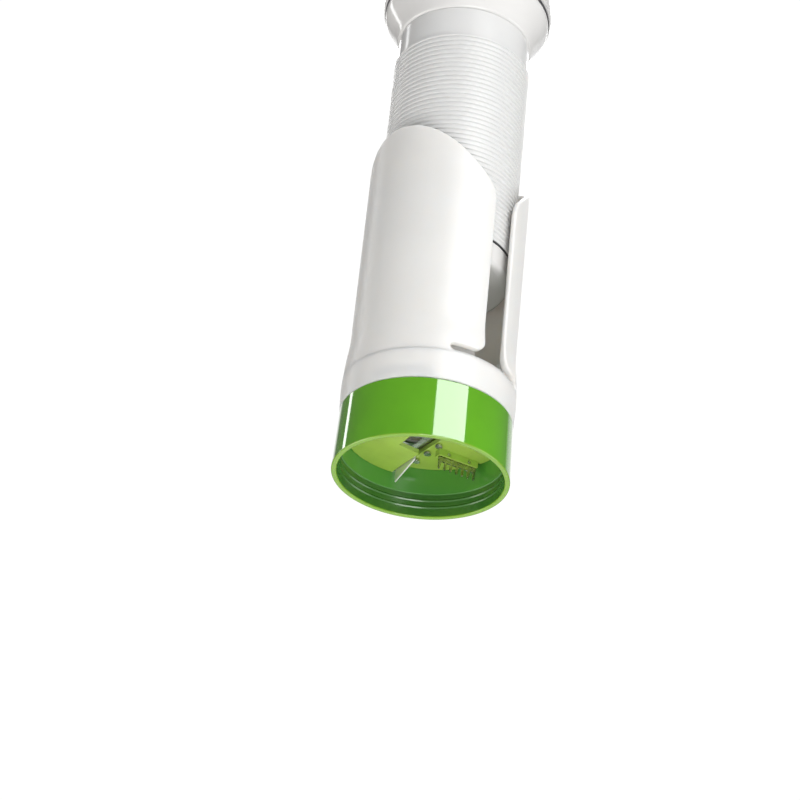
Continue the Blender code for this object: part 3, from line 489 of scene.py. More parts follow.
def ring_tree():
    """Copies of a piece round a circle, each turned by a seeded chance about its own axis."""
    tree, given = new_tree("Ring of pieces", [
        ("Piece", "Object"), ("Count", "Int"), ("Radius", "Float"), ("Start", "Float"), ("Height", "Float"),
        ("Spin", "Float"), ("Seed", "Int"), ("Finish", "Material")])
    points = plugged(tree, "GeometryNodePoints", {"Count": given["Count"]}).outputs[0]
    index = tree.nodes.new("GeometryNodeInputIndex").outputs[0]
    bearing = calc(tree, "ADD", given["Start"],
                   calc(tree, "MULTIPLY", calc(tree, "DIVIDE", index, given["Count"]), tau))
    place = plugged(tree, "ShaderNodeCombineXYZ", {
        "X": calc(tree, "MULTIPLY", given["Radius"], calc(tree, "COSINE", bearing)),
        "Y": calc(tree, "MULTIPLY", given["Radius"], calc(tree, "SINE", bearing)), "Z": given["Height"]})
    placed = plugged(tree, "GeometryNodeSetPosition", {"Geometry": points, "Position": place.outputs[0]})
    chance = plugged(tree, "FunctionNodeRandomValue", {"Seed": given["Seed"]}, data_type="FLOAT")
    spin = calc(tree, "MULTIPLY", chance.outputs["Value"], given["Spin"])
    turn = plugged(tree, "ShaderNodeCombineXYZ", {"Z": calc(tree, "ADD", bearing, spin)})
    piece = plugged(tree, "GeometryNodeObjectInfo", {"Object": given["Piece"], "As Instance": True})
    copies = plugged(tree, "GeometryNodeInstanceOnPoints", {
        "Points": placed.outputs[0], "Instance": piece.outputs["Geometry"], "Rotation": turn.outputs[0]})
    return closed_tree(tree, copies.outputs[0], given["Finish"])


def row_tree():
    """Copies of a piece along a straight row."""
    tree, given = new_tree("Row of pieces", [
        ("Piece", "Object"), ("Count", "Int"), ("First", "Vector"), ("Step", "Vector"), ("Finish", "Material")])
    line = plugged(tree, "GeometryNodeMeshLine", {"Count": given["Count"], "Start Location": given["First"],
                                                  "Offset": given["Step"]}, mode="OFFSET")
    piece = plugged(tree, "GeometryNodeObjectInfo", {"Object": given["Piece"], "As Instance": True})
    copies = plugged(tree, "GeometryNodeInstanceOnPoints", {
        "Points": line.outputs[0], "Instance": piece.outputs["Geometry"]})
    return closed_tree(tree, copies.outputs[0], given["Finish"])


# Finishes


def new_finish(name, settings):
    """A Principled finish with its own settings, and its tree and shader."""
    material = bpy.data.materials.new(name)
    material.use_nodes = True
    shader = material.node_tree.nodes["Principled BSDF"]
    for socket, value in settings.items():
        shader.inputs[socket].default_value = value
    return material, material.node_tree, shader


def grain(tree, scale, detail=2.0, stretch=(1, 1, 1), turn=0.0):
    """Noise in the piece's own coordinates, stretched along an axis where asked."""
    place = plugged(tree, "ShaderNodeTexCoord").outputs["Object"]
    mapped = plugged(tree, "ShaderNodeMapping", {"Vector": place, "Scale": stretch, "Rotation": (0, 0, turn)})
    return plugged(tree, "ShaderNodeTexNoise", {"Vector": mapped.outputs[0], "Scale": scale,
                                                "Detail": detail}).outputs["Fac"]


def clouded(tree, scale, detail, low=0.3, high=0.7):
    """Soft clouds that run from 0 to 1."""
    return ranged(tree, grain(tree, scale, detail), low, high, 0.0, 1.0)


def blended(tree, amount, first, second):
    """A mix of two colours, either of which may come from another node."""
    sources = [(*c, 1.0) if isinstance(c, tuple) else c for c in (first, second)]
    return plugged(tree, "ShaderNodeMix", {0: amount, 6: sources[0], 7: sources[1]},
                   data_type="RGBA").outputs[2]


def painted(tree, shader, amount, first, second):
    """Give the finish a mix of two colours."""
    tree.links.new(blended(tree, amount, first, second), shader.inputs["Base Color"])


def shaded(base, factor):
    """A colour made lighter or darker."""
    return tuple(min(1.0, c * factor) for c in base)


def raised(tree, shader, source, distance, strength=1.0):
    """A fine relief of that depth in metres."""
    relief = plugged(tree, "ShaderNodeBump", {"Height": source, "Distance": distance, "Strength": strength})
    tree.links.new(relief.outputs[0], shader.inputs["Normal"])


def satin_white(white, name="Satin white", glow=(0.55, 0.005), gloss_above=1.0):
    """Fine-grained moulded plastic with faint wear, polished above a height. The glow is its weight and scale."""
    material, tree, shader = new_finish(name, {
        "IOR": 1.5, "Subsurface Weight": glow[0], "Subsurface Radius": (1.0, 0.88, 0.78),
        "Subsurface Scale": glow[1]})
    fine = grain(tree, 2600.0, 3.0)
    scuff = grain(tree, 320.0, 5.0, stretch=(1, 1, 0.08))
    painted(tree, shader, clouded(tree, 38.0, 4.0), shaded(white, 0.972), tuple(white))
    worn = ranged(tree, scuff, 0.60, 0.78, 0.0, 0.10)
    rough = ranged(tree, fine, 0.3, 0.7, 0.31, 0.39)
    place = plugged(tree, "ShaderNodeTexCoord").outputs["Object"]
    height = plugged(tree, "ShaderNodeSeparateXYZ", {0: place}).outputs["Z"]
    polish = ranged(tree, height, gloss_above, gloss_above + 0.2 * MM, 1.0, 0.45)
    tree.links.new(calc(tree, "MULTIPLY", calc(tree, "ADD", rough, worn), polish), shader.inputs["Roughness"])
    raised(tree, shader, fine, 0.000012, 0.35)
    return material


def gloss_white(name, white):
    """Polished moulded plastic with the slight waves that moulding leaves."""
    material, tree, shader = new_finish(name, {"IOR": 1.52, "Coat Weight": 0.35, "Coat Roughness": 0.04})
    smear = grain(tree, 90.0, 6.0, stretch=(1, 1, 0.35))
    waves = grain(tree, 110.0, 1.0)
    painted(tree, shader, clouded(tree, 30.0, 3.0), shaded(white, 0.98), tuple(white))
    tree.links.new(ranged(tree, smear, 0.35, 0.75, 0.11, 0.22), shader.inputs["Roughness"])
    raised(tree, shader, waves, 0.00002, 0.25)
    return material


def glossy_green(green, inside_painted_shade, mouth_radius, ledge_height):
    """Tinted plastic, with painted shade inside the head that is darker still below the ledge, and a painted glow
    of light through the rim.
    """
    material, tree, shader = new_finish("Glossy green", {
        "IOR": 1.53, "Coat Weight": 0.85, "Coat Roughness": 0.02, "Coat IOR": 1.55,
        "Subsurface Weight": 0.12, "Subsurface Radius": (0.35, 1.0, 0.2), "Subsurface Scale": 0.0015})
    place = plugged(tree, "ShaderNodeTexCoord").outputs["Object"]
    height = plugged(tree, "ShaderNodeSeparateXYZ", {0: place}).outputs["Z"]
    level = plugged(tree, "ShaderNodeVectorMath", {0: place, 1: (1, 1, 0)}, operation="MULTIPLY").outputs[0]
    reach = plugged(tree, "ShaderNodeVectorMath", {0: level}, operation="LENGTH").outputs["Value"]
    inside = ranged(tree, reach, mouth_radius + 0.6 * MM, mouth_radius + 0.1 * MM, 0.0, 1.0)
    painted_rim_glow = ranged(tree, height, 0.9 * MM, 0.3 * MM, 0.0, 1.0, smooth=True)
    cloud = clouded(tree, 45.0, 3.0)
    outer = blended(tree, cloud, shaded(green, 0.94), shaded(green, 1.05))
    # Painted shade: the inside of the head takes a darker green, and below the ledge one darker still.
    painted_shade_below_ledge = ranged(tree, height, ledge_height + 0.1 * MM, ledge_height - 0.3 * MM, 0.0, 1.0)
    inner = blended(tree, painted_shade_below_ledge, tuple(inside_painted_shade), shaded(inside_painted_shade, 0.55))
    body = blended(tree, inside, outer, inner)
    # Painted light: the lip is lighter and yellower, standing for light that falls through the rim.
    lip = (green[0] * 1.75, green[1] * 1.05, green[2] * 1.6)
    painted(tree, shader, painted_rim_glow, body, lip)
    smear = grain(tree, 120.0, 5.0, stretch=(1, 1, 0.5))
    gloss = ranged(tree, smear, 0.4, 0.8, 0.05, 0.14)
    tree.links.new(calc(tree, "MULTIPLY_ADD", inside, 0.14, gloss), shader.inputs["Roughness"])
    tree.links.new(ranged(tree, inside, 0.0, 1.0, 0.85, 0.3), shader.inputs["Coat Weight"])
    raised(tree, shader, grain(tree, 140.0, 1.0), 0.000004, 0.2)
    return material


def lime_plastic(lime):
    """The cutting plate's softer, slightly cloudy plastic."""
    material, tree, shader = new_finish("Lime plastic", {
        "IOR": 1.5, "Coat Weight": 0.15, "Coat Roughness": 0.15, "Subsurface Weight": 0.15,
        "Subsurface Radius": (0.6, 1.0, 0.2), "Subsurface Scale": 0.0015})
    cloud = clouded(tree, 70.0, 5.0, 0.32, 0.68)
    painted(tree, shader, cloud, shaded(lime, 0.86), shaded(lime, 1.06))
    fine = grain(tree, 1400.0, 3.0)
    tree.links.new(ranged(tree, fine, 0.3, 0.7, 0.30, 0.44), shader.inputs["Roughness"])
    raised(tree, shader, fine, 0.00002, 0.3)
    return material


def ground_steel(name, turn, dim=(0.56, 0.555, 0.54), bright=(0.70, 0.695, 0.68), rough=0.16, metallic=1.0):
    """Stainless steel with grinding lines across the piece at that bearing."""
    material, tree, shader = new_finish(name, {"Metallic": metallic, "IOR": 2.5})
    lines = grain(tree, 900.0, 4.0, stretch=(0.04, 1, 1), turn=turn)
    cloud = clouded(tree, 160.0, 4.0)
    painted(tree, shader, cloud, dim, bright)
    tree.links.new(ranged(tree, lines, 0.3, 0.7, rough, rough + 0.18), shader.inputs["Roughness"])
    raised(tree, shader, lines, 0.000008, 0.4)
    return material


def dull_finish(name, base, low, high, scale):
    """A matt plastic or rubber with a fine grain."""
    material, tree, shader = new_finish(name, {"IOR": 1.48})
    cloud = clouded(tree, 80.0, 4.0)
    painted(tree, shader, cloud, shaded(base, 0.88), shaded(base, 1.08))
    fine = grain(tree, scale, 3.0)
    tree.links.new(ranged(tree, fine, 0.3, 0.7, low, high), shader.inputs["Roughness"])
    raised(tree, shader, fine, 0.00002, 0.4)
    return material


# The white body


def body_radius(z):
    """Outer radius of the body at a height, on a smooth flare that runs from the collar into the grips."""
    heights = (27.4, 32.0, 37.0, 42.0, 47.0, 51.5, 55.5, 60.0, 66.0)
    radii = (36.4, 36.62, 36.8, 36.62, 36.3, 35.92, 35.42, 35.12, 35.1)
    z /= MM
    if z >= heights[-1]:
        return radii[-1] * MM
    for k in range(len(heights) - 1):
        if z <= heights[k + 1]:
            break
    t = max(0.0, (z - heights[k]) / (heights[k + 1] - heights[k]))
    a, b, c, d = (radii[min(max(k + n, 0), len(radii) - 1)] for n in (-1, 0, 1, 2))
    return MM * 0.5 * (2 * b + (c - a) * t + (2 * a - 5 * b + 4 * c - d) * t ** 2
                       + (3 * b - a - 3 * c + d) * t ** 3)


def drawn_side(settings):
    """Half of a grip's outline seen from the side, as reach and height, from the collar's top upwards."""
    slope = settings.top_slope
    slit_r = settings.slit_height / 2
    end = settings.slit_reach - slit_r
    edge = settings.edge_reach
    slit_top = COLLAR_TOP + settings.slit_height
    corner = (edge, settings.top_height - slope * (settings.grip_radius - edge), settings.corner_radius)
    top = (settings.grip_radius, settings.top_height, 0)
    points = [(0.0, COLLAR_TOP), (end, COLLAR_TOP)]
    points += [(end + slit_r * sin(pi * k / 12), COLLAR_TOP + slit_r * (1 - cos(pi * k / 12)))
               for k in range(1, 12)]
    points += rounded([(end, slit_top, 0), (edge, slit_top, settings.heel_radius), corner, top], 12)
    made = []
    for start, finish in zip(points, points[1:]):
        count = max(1, ceil((Vector(finish) - Vector(start)).length / (1.5 * MM)))
        made += [tuple(Vector(start).lerp(Vector(finish), k / count)) for k in range(count)]
    return made + [points[-1]]


def unrolled(settings):
    """A grip's outline laid flat: the distance round the body from the grip's middle, and the height."""
    flat = []
    for reach, z in drawn_side(settings):
        flat.append((acos(min(1.0, reach / body_radius(z))) * settings.grip_radius, z))
    flat[0] = (settings.grip_radius * radians(96), COLLAR_TOP)
    foot = COLLAR_SPLIT - 3 * MM
    right = [(flat[0][0], foot)] + flat
    return right + [(-s, z) for s, z in reversed(right[:-1])]


def wrapped(mesh, settings, turn):
    """The flat mesh laid round the body. Its depth runs inwards from the outer wall."""
    for vert in mesh.verts:
        s, z, depth = vert.co
        radius = body_radius(z) + depth if depth > -GRIP_WALL / 2 else BODY_BORE_R + GRIP_WALL + depth
        bearing = s / settings.grip_radius - pi / 2 + turn
        vert.co = (radius * cos(bearing), radius * sin(bearing), z)


def jaw(settings, plunger, turn):
    """Half a nut inside a grip. Squeezing turns it inwards and lifts it slightly, into the plunger's thread."""
    high = JAW_FOOT + settings.rib_count * plunger.pitch
    root = plunger.crest_radius - plunger.rib_depth + JAW_CLEARANCE
    block = new_object("jaw_block", arc_block(root - SEAT, BODY_BORE_R + 0.8 * MM, turn - pi / 2,
                                              JAW_HALF_ANGLE, JAW_FOOT, high, 24))
    tap = wound_bar("jaw_tap", root + plunger.rib_depth, plunger.rib_depth, plunger.pitch, JAW_FOOT - 2 * MM,
                    high + 2 * MM, None, 64)
    tap.data.transform(Matrix.Translation((0, 0, -JAW_LIFT)))
    carved(block, "DIFFERENCE", mesh_of(tap))
    return block


def mesh_of(obj):
    """The object's mesh in a new edit mesh. The object goes."""
    mesh = bmesh.new()
    mesh.from_mesh(obj.data)
    bpy.data.objects.remove(obj)
    return mesh


def grip(name, turn, settings, plunger, finish):
    """One grip: drawn flat, given round edges, cut into narrow strips and laid round the body."""
    mesh = extruded(unrolled(settings), -GRIP_WALL, 0.0)
    rims = [edge for edge in mesh.edges if len({round(vert.co.z, 7) for vert in edge.verts}) == 1]
    bmesh.ops.bevel(mesh, geom=rims, offset=settings.edge_round, segments=4, profile=0.5, affect="EDGES",
                    clamp_overlap=False)
    half_round = settings.grip_radius * pi / 2
    strip = settings.grip_radius * STRIP_ANGLE
    cuts = [((k * strip, 0, 0), (1, 0, 0)) for k in range(-35, 36)]
    cuts += [((0, z * MM, 0), (0, 1, 0)) for z in FLARE_CUTS]
    for place, across in cuts:
        sliced(mesh, place, across)
    for place, across in (((half_round, 0, 0), (1, 0, 0)), ((-half_round, 0, 0), (-1, 0, 0)),
                          ((0, COLLAR_SPLIT, 0), (0, -1, 0))):
        sliced(mesh, place, across, True)
        bmesh.ops.holes_fill(mesh, edges=[edge for edge in mesh.edges if edge.is_boundary], sides=0)
    bmesh.ops.recalc_face_normals(mesh, faces=mesh.faces[:])
    wrapped(mesh, settings, turn)
    made = new_object(name, mesh, finish)
    carved(made, "UNION", mesh_of(jaw(settings, plunger, turn)))
    return crisp(made, 40.0)


def collar(finish):
    """The ring under the grips, whose wall runs on into theirs, and the thin liner behind the slits."""
    outer = [(body_radius(z * MM), z * MM) for z in (41.0, 39.5, 38, 36.5, 35, 33.5, 32, 30.5, 29, 27.9)]
    foot = 27.4 * MM
    profile = outer + [(36.25 * MM, 27.55 * MM), (36.0 * MM, foot), (SOCKET_R, foot), (SOCKET_R, SOCKET_TOP),
                       (BODY_BORE_R, SOCKET_TOP), (BODY_BORE_R, COLLAR_SPLIT)]
    made = new_object("collar", turned(profile), finish)
    grooves = []
    inner, outer = 33.0 * MM, 35.6 * MM
    for lock in LOCKS:
        grooves.append(arc_block(inner, outer, lock + radians(15), radians(19.5), 29.6 * MM, 32.2 * MM, 12))
        grooves.append(arc_block(inner, outer, lock + radians(30), radians(4.5), 26.0 * MM, 32.1 * MM, 6))
    carved(made, "DIFFERENCE", *grooves)
    liners = [arc_block(LINER_R, reach, bearing, radians(76), 36.2 * MM, top, 48)
              for bearing in (-pi / 2, pi / 2) for reach, top in ((32.95 * MM, 39.6 * MM), (32.3 * MM, 49.0 * MM))]
    return crisp(carved(made, "UNION", *liners))


# The plunger


def wound_bar(name, crest, depth, pitch, low, high, finish, steps_round):
    """A threaded bar with level ends, in phase with the plunger's thread."""
    turns = ceil((high - low) / pitch) + 4
    foot = THREAD_FOOT - pitch * (ceil((THREAD_FOOT - low) / pitch) + 2)
    bar = grown(name, thread_tree(), {
        "Crest radius": crest, "Depth": depth, "Pitch": pitch, "Foot": foot, "Turns": turns,
        "Steps round": steps_round, "Steps up": 9, "Finish": finish})
    mesh = bmesh.new()
    mesh.from_mesh(bar.data)
    for height, side in ((low, -1), (high, 1)):
        sliced(mesh, (0, 0, height), (0, 0, side), True)
        rim = [edge for edge in mesh.edges
               if edge.is_boundary and all(abs(vert.co.z - height) < 2e-6 for vert in edge.verts)]
        bmesh.ops.contextual_create(mesh, geom=rim)
    bmesh.ops.recalc_face_normals(mesh, faces=mesh.faces[:])
    mesh.to_mesh(bar.data)
    mesh.free()
    return bar


def feed_tube(settings, finish):
    """The ribbed tube with its plain neck, hollow from below."""
    tube = wound_bar("ribbed_tube", settings.crest_radius, settings.rib_depth, settings.pitch,
                     THREAD_FOOT - 0.5 * MM, THREAD_TOP, finish, 96)
    tube.data.materials.clear()
    tube.data.materials.append(finish)
    neck_r = settings.neck_radius
    top = NECK_TOP + 0.18 * MM
    neck = turned(rounded([(0, top, 0), (neck_r, top, 0.25 * MM), (neck_r, THREAD_TOP - 1.2 * MM, 0),
                           (0, THREAD_TOP - 1.2 * MM, 0)]), 96, ring=False)
    bore_r = settings.crest_radius - settings.rib_depth - 2.0 * MM
    lid = NECK_TOP - 3.1 * MM
    bore = turned([(0, lid), (bore_r, lid), (bore_r, THREAD_FOOT - MM), (0, THREAD_FOOT - MM)], 64, ring=False)
    carved(tube, "UNION", neck)
    carved(tube, "DIFFERENCE", bore)
    return crisp(tube, 50.0)


def food_holder(settings, finish):
    """The glossy cup that closes the tube's foot."""
    outer_r = 29.5 * MM
    spigot_r = settings.crest_radius - settings.rib_depth - 2.3 * MM
    inner_r = spigot_r - 2.4 * MM
    foot, floor, shoulder, top = 94.0 * MM, 98.0 * MM, 105.2 * MM, 113.0 * MM
    profile = rounded([(0, floor, 0), (inner_r, floor, 0.8 * MM), (inner_r, top, 0.4 * MM),
                       (spigot_r, top, 0.4 * MM), (spigot_r, shoulder, 0), (outer_r, shoulder, 0.35 * MM),
                       (outer_r, foot, 3.0 * MM), (0, foot, 0)], 6)
    cup = new_object("food_holder_cup", turned(profile, 96, ring=False), finish)
    return crisp(carved(cup, "DIFFERENCE", *screw_holes(PRONG_SCREW_CIRCLE, 93 * MM, 99 * MM)))


def prong_plate(settings, finish):
    """The steel disc with its ring of prongs."""
    top, low = 93.7, 92.7
    profile = rounded(mm((0, top, 0), (15.0, top, 0.25), (15.0, low, 0.25), (0, low, 0)))
    disc = new_object("prong_disc", turned(profile, 64, ring=False), finish)
    spike = turned(mm((0, 0.4), (1.3, 0.4), (1.3, -0.6), (0.85, -3.2), (0.22, -5.8), (0, -6.0)), 16, ring=False)
    pattern = new_object("prong_pattern", spike)
    prongs = grown("prongs", ring_tree(), {
        "Piece": pattern, "Count": settings.prong_count, "Radius": 12.2 * MM, "Start": tau / 12,
        "Height": low * MM, "Spin": 0.0, "Seed": 1, "Finish": finish})
    bpy.data.objects.remove(pattern)
    carved(disc, "UNION", mesh_of(prongs))
    return crisp(carved(disc, "DIFFERENCE", *screw_holes(PRONG_SCREW_CIRCLE, 92 * MM, 94 * MM)))


def screw_pattern(name, shank, down):
    """A pan-head screw with a cross recess and a shank of that length in millimetres, borne at height zero."""
    head = turned(rounded(mm((0, 1.8, 0), (2.9, 1.8, 1.1), (2.9, 0, 0.15), (1.5, 0, 0), (1.5, -shank, 0.4),
                             (0, -shank, 0)), 5), 32, ring=False)
    screw = new_object(name, head)
    carved(screw, "DIFFERENCE", *[box_between((-1.7 * MM, -0.35 * MM, 1.0 * MM), (1.7 * MM, 0.35 * MM, 3 * MM), a)
                                  for a in (0.0, pi / 2)])
    if down:
        screw.data.transform(Matrix.Rotation(pi, 4, "X"))
    return screw


def screw_ring(name, circle, bearing, shank, down, finish):
    """Three like screws round a circle."""
    pattern = screw_pattern(name + "_pattern", shank, down)
    made = grown(name, ring_tree(), {
        "Piece": pattern, "Count": 3, "Radius": circle, "Start": 0.0, "Height": bearing, "Spin": tau, "Seed": 5,
        "Finish": finish})
    bpy.data.objects.remove(pattern)
    return crisp(made)


def knob_parts(settings, finish, trim_finish):
    """The flared shell, the dark trim ring in its seam, and the cap."""
    foot = NECK_TOP + SEAT
    seam = settings.knob_seam
    flare = smooth_curve([(29.45, 0.0), (30.25, 0.45), (30.9, 1.6), (31.75, 3.5), (32.75, 5.5), (33.9, 7.5),
                          (35.1, 9.5), (36.2, 11.4), (36.95, 13.0), (37.2, 14.4)], 4)
    outer = [(r * MM, foot + z * MM) for r, z in flare] + [(37.15 * MM, seam)]
    inner = mm((0, 225.0), (28.6, 225.0), (30.4, 226.4), (32.7, 230.0), (35.15, 233.8)) + [(35.6 * MM, seam)]
    shell = new_object("knob_flare", turned(inner + outer[::-1] + [(0, foot)], ring=False), finish)
    carved(shell, "DIFFERENCE", *screw_holes(KNOB_SCREW_CIRCLE, 222 * MM, 226 * MM))
    low = seam + 0.15 * MM
    high = low + 1.3 * MM
    trim = new_object("knob_trim", turned(rounded([
        (37.5 * MM, high, 0.15 * MM), (37.5 * MM, low, 0.25 * MM), (35.2 * MM, low, 0), (35.2 * MM, high, 0)])),
                      trim_finish)
    foot = low + 1.45 * MM
    side = smooth_curve([(38.25, 0.0), (38.48, 1.2), (38.45, 3.2), (38.2, 6.6), (37.75, 10.4), (37.2, 13.4),
                         (36.0, 17.2), (33.6, 20.3), (30.4, 22.2), (26.4, 23.0)], 5)
    outer = [(r * MM, min(KNOB_TOP, foot + z * MM)) for r, z in side]
    skirt = foot - 3.8 * MM
    inner = [(34.9 * MM, foot), (34.9 * MM, skirt), (32.7 * MM, skirt), (32.7 * MM, foot + 2 * MM)]
    inner += mm((35.4, 247), (34.8, 252), (31.5, 257.6), (26.0, 259.8), (0, 259.8))
    cap = new_object("knob_cap_dome", turned([(0, KNOB_TOP)] + outer[::-1] + inner, ring=False), finish)
    return crisp(shell), crisp(trim), crisp(cap)


# The cutter head


def head_shell(settings, finish):
    """The green cup: a taper, a rounded lip, two ridges and a ledge inside, a spigot with lugs, and clips."""
    lip = settings.lip_round
    mouth = settings.mouth_radius
    corners = [(SPIGOT_R, SPIGOT_TOP, 0.4 * MM), (SPIGOT_R, HEAD_HEIGHT, 0.1 * MM),
               (settings.top_radius, HEAD_HEIGHT, 0.35 * MM), (settings.rim_radius, 0, lip), (mouth, 0, lip)]
    for z in RIDGE_HEIGHTS:
        corners += [(mouth, z - RIDGE_HALF, 0.2 * MM), (mouth - 0.4 * MM, z, 0.25 * MM),
                    (mouth, z + RIDGE_HALF, 0.2 * MM)]
    ceiling = HEAD_HEIGHT - 0.1 * MM
    inner = SPIGOT_R - 2.1 * MM
    corners += [(mouth, settings.ledge_height - 0.3 * MM, 0.1 * MM), (BORE_R, settings.ledge_height, 0.12 * MM),
                (BORE_R, ceiling, 0.2 * MM), (inner, ceiling, 0.2 * MM), (inner, SPIGOT_TOP, 0.4 * MM)]
    shell = new_object("green_head", turned(rounded(corners, 5)), finish)
    half = LUG_HALF_ANGLE
    extras = [arc_block(SPIGOT_R - 1.05 * MM, SPIGOT_R + 1.2 * MM, lock, half, 29.9 * MM, 31.9 * MM)
              for lock in LOCKS]
    for bearing in CLIP_BEARINGS:
        top = ramp_underside(bearing + half) - PLATE_STEP * 2 * half / tau - SEAT
        extras.append(arc_block(BORE_R - MM, BORE_R + 0.8 * MM, bearing, half, top - 1.2 * MM, top))
    return crisp(carved(shell, "UNION", *extras))


def ramp_underside(bearing):
    """Height of the cutting plate's underside, which falls clockwise from its start."""
    return PLATE_HIGH - PLATE_STEP * ((RAMP_START - bearing) % tau) / tau


def refined(name, node, finish, edge_round):
    """A CAD piece whose shape is right, with rounded edges."""
    return crisp(new_object(name, copy_of(node), finish), 32.0, edge_round)


def comb(settings, finish):
    """The comb blade: a bar with a row of teeth below and short cutting teeth above."""
    reach, tooth_width, thick = 17.8 * MM, 1.0 * MM, 0.8 * MM
    pitch = (reach - tooth_width) / (settings.tooth_count - 1)
    bar_foot = 17.2 * MM
    bar_top = BLADE_Z + 0.9 * MM - 1.7 * MM
    bar = extruded([(0, bar_foot), (reach, bar_foot), (reach, bar_top), (0, bar_top)], -thick / 2, thick / 2)
    made = new_object("comb", bar, finish)
    outline = [(0, 0.4), (0.08, -3.0), (0.3, -3.4), (0.7, -3.4), (0.92, -3.0), (1.0, 0.4)]
    under = new_object("tooth_pattern", extruded(mm(*outline), -thick / 2, thick / 2))
    edge = [(0, -0.3), (1.0, -0.3), (1.0, 1.4), (0.5, 1.7), (0, 1.4)]
    over = new_object("point_pattern", extruded(mm(*edge), -thick / 2, thick / 2))
    row = row_tree()
    for k, (pattern, height) in enumerate(((under, bar_foot), (over, bar_top))):
        teeth = grown(f"teeth_{k}", row, {"Piece": pattern, "Count": settings.tooth_count,
                                          "First": (0, height, 0), "Step": (pitch, 0, 0), "Finish": finish})
        carved(made, "UNION", mesh_of(teeth))
        bpy.data.objects.remove(pattern)
    pins = [round_bar(x * MM, 20.8 * MM, -2 * MM, 2 * MM, 0.9 * MM, 24) for x in (4.0, 13.8)]
    carved(made, "DIFFERENCE", *pins)
    along = Vector((cos(COMB_DIRECTION), sin(COMB_DIRECTION), 0))
    up = Vector((0, 0, 1))
    turn = Matrix((along, up, along.cross(up))).transposed().to_4x4()
    made.data.transform(Matrix.Translation((*COMB_INNER, 0)) @ turn)
    return crisp(made, 32.0, 0.08 * MM)


# The studio


def direction(bearing, elevation):
    """A direction from the object, given by its bearing round the upright axis and its height."""
    return Vector((cos(bearing) * cos(elevation), sin(bearing) * cos(elevation), sin(elevation)))


def soft_light(name, power, width, height, place, tint):
    """A soft rectangular light that faces the head. The camera doesn't see the lamp itself."""
    lamp = bpy.data.lights.new(name, "AREA")
    lamp.shape = "RECTANGLE"
    lamp.size, lamp.size_y = width, height
    lamp.energy = power
    lamp.color = tint
    obj = bpy.data.objects.new(name, lamp)
    bpy.context.scene.collection.objects.link(obj)
    obj.location = place
    obj.rotation_mode = "QUATERNION"
    obj.rotation_quaternion = (LIT_POINT - place).to_track_quat("-Z", "Y")
    obj.visible_camera = False


def photo_camera(settings):
    """The camera of the photograph, found from the rim's ellipse and the body's sides."""
    a, e = settings.azimuth, settings.elevation
    back = Vector((sin(a) * cos(e), -cos(a) * cos(e), sin(e)))
    level = Vector((cos(a), sin(a), 0))
    upright = back.cross(level)
    right = level * cos(settings.roll) + upright * sin(settings.roll)
    up = upright * cos(settings.roll) - level * sin(settings.roll)
    held = Matrix((right, up, back)).transposed()
    half = FRAME_PIXELS / 2
    sight = Vector(((ORIGIN_PIXEL[0] - half) / FOCAL_PIXELS, -(ORIGIN_PIXEL[1] - half) / FOCAL_PIXELS, -1))
    turned_to = Vector((0, 0, -1)).rotation_difference(sight).to_matrix()
    data = bpy.data.cameras.new("Photo camera")
    data.sensor_width = SENSOR_MM
    data.lens = FOCAL_PIXELS * SENSOR_MM / FRAME_PIXELS
    data.clip_start, data.clip_end = 0.05, 30
    camera = bpy.data.objects.new("Photo camera", data)
    bpy.context.scene.collection.objects.link(camera)
    camera.matrix_world = Matrix.Translation(back * settings.distance) @ (held @ turned_to.transposed()).to_4x4()
    bpy.context.scene.camera = camera
    return back


def pale_world(settings, behind):
    """A plain pale backdrop that lights the object from behind, from behind at the right and from overhead."""
    world = bpy.data.worlds.new("Pale studio")
    world.use_nodes = True
    tree = world.node_tree
    background = tree.nodes["Background"]
    way = plugged(tree, "ShaderNodeTexCoord").outputs["Generated"]
    to_right = Matrix.Rotation(radians(-20), 3, "Z") @ behind
    overhead = Vector((0, 0, 1))
    brightest = settings.sky_light
    for middle, low, high, strength in ((behind, 0.88, 0.972, settings.backdrop_light),
                                        (to_right, 0.905, 0.985, settings.side_light),
                                        (overhead, 0.68, 0.9, settings.top_light)):
        facing = plugged(tree, "ShaderNodeVectorMath", {0: way, 1: middle}, operation="DOT_PRODUCT")
        lobe = ranged(tree, facing.outputs["Value"], low, high, 0.0, strength, smooth=True)
        brightest = calc(tree, "MAXIMUM", brightest, lobe)
    seen = plugged(tree, "ShaderNodeLightPath").outputs["Is Camera Ray"]
    plain = plugged(tree, "ShaderNodeMix", {0: seen, 2: brightest, 3: settings.backdrop_light}).outputs[0]
    tree.links.new(plain, background.inputs["Strength"])
    background.inputs["Color"].default_value = (1.0, 0.998, 0.994, 1.0)
    bpy.context.scene.world = world


def pale_floor(settings):
    """A plain pale floor, far enough below for the camera to look up at the head."""
    material, tree, shader = new_finish("Plain floor", {"Roughness": 0.75})
    cloud = clouded(tree, 1.5, 3.0)
    painted(tree, shader, cloud, shaded(settings.floor_colour, 0.985), tuple(settings.floor_colour))
    reach, level = settings.floor_reach, settings.floor_height
    mesh = bmesh.new()
    mesh.faces.new([mesh.verts.new((x * reach, y * reach, level)) for x, y in ((-1, -1), (1, -1), (1, 1), (-1, 1))])
    new_object("floor", mesh, material)


class SPIRALIZER_OT_stage(bpy.types.Operator):
    """Set up the floor, the soft lights, the surroundings and the camera"""

    bl_idname = "spiralizer.stage"
    bl_label = "Studio and Camera"

    def execute(self, context):
        settings = context.scene.spiralizer_stage
        back = photo_camera(settings)
        pale_world(settings, -back)
        pale_floor(settings)
        to_camera = atan2(back.y, back.x)
        for name, power, width, height, reach, bearing, rise, tint in LAMPS:
            elevation = -settings.elevation if rise is None else radians(rise)
            place = LIT_POINT + reach * direction(to_camera + radians(bearing), elevation)
            soft_light(name, getattr(settings, power), width, height, place, tint)
        context.scene.view_settings.view_transform = "Standard"
        return {"FINISHED"}


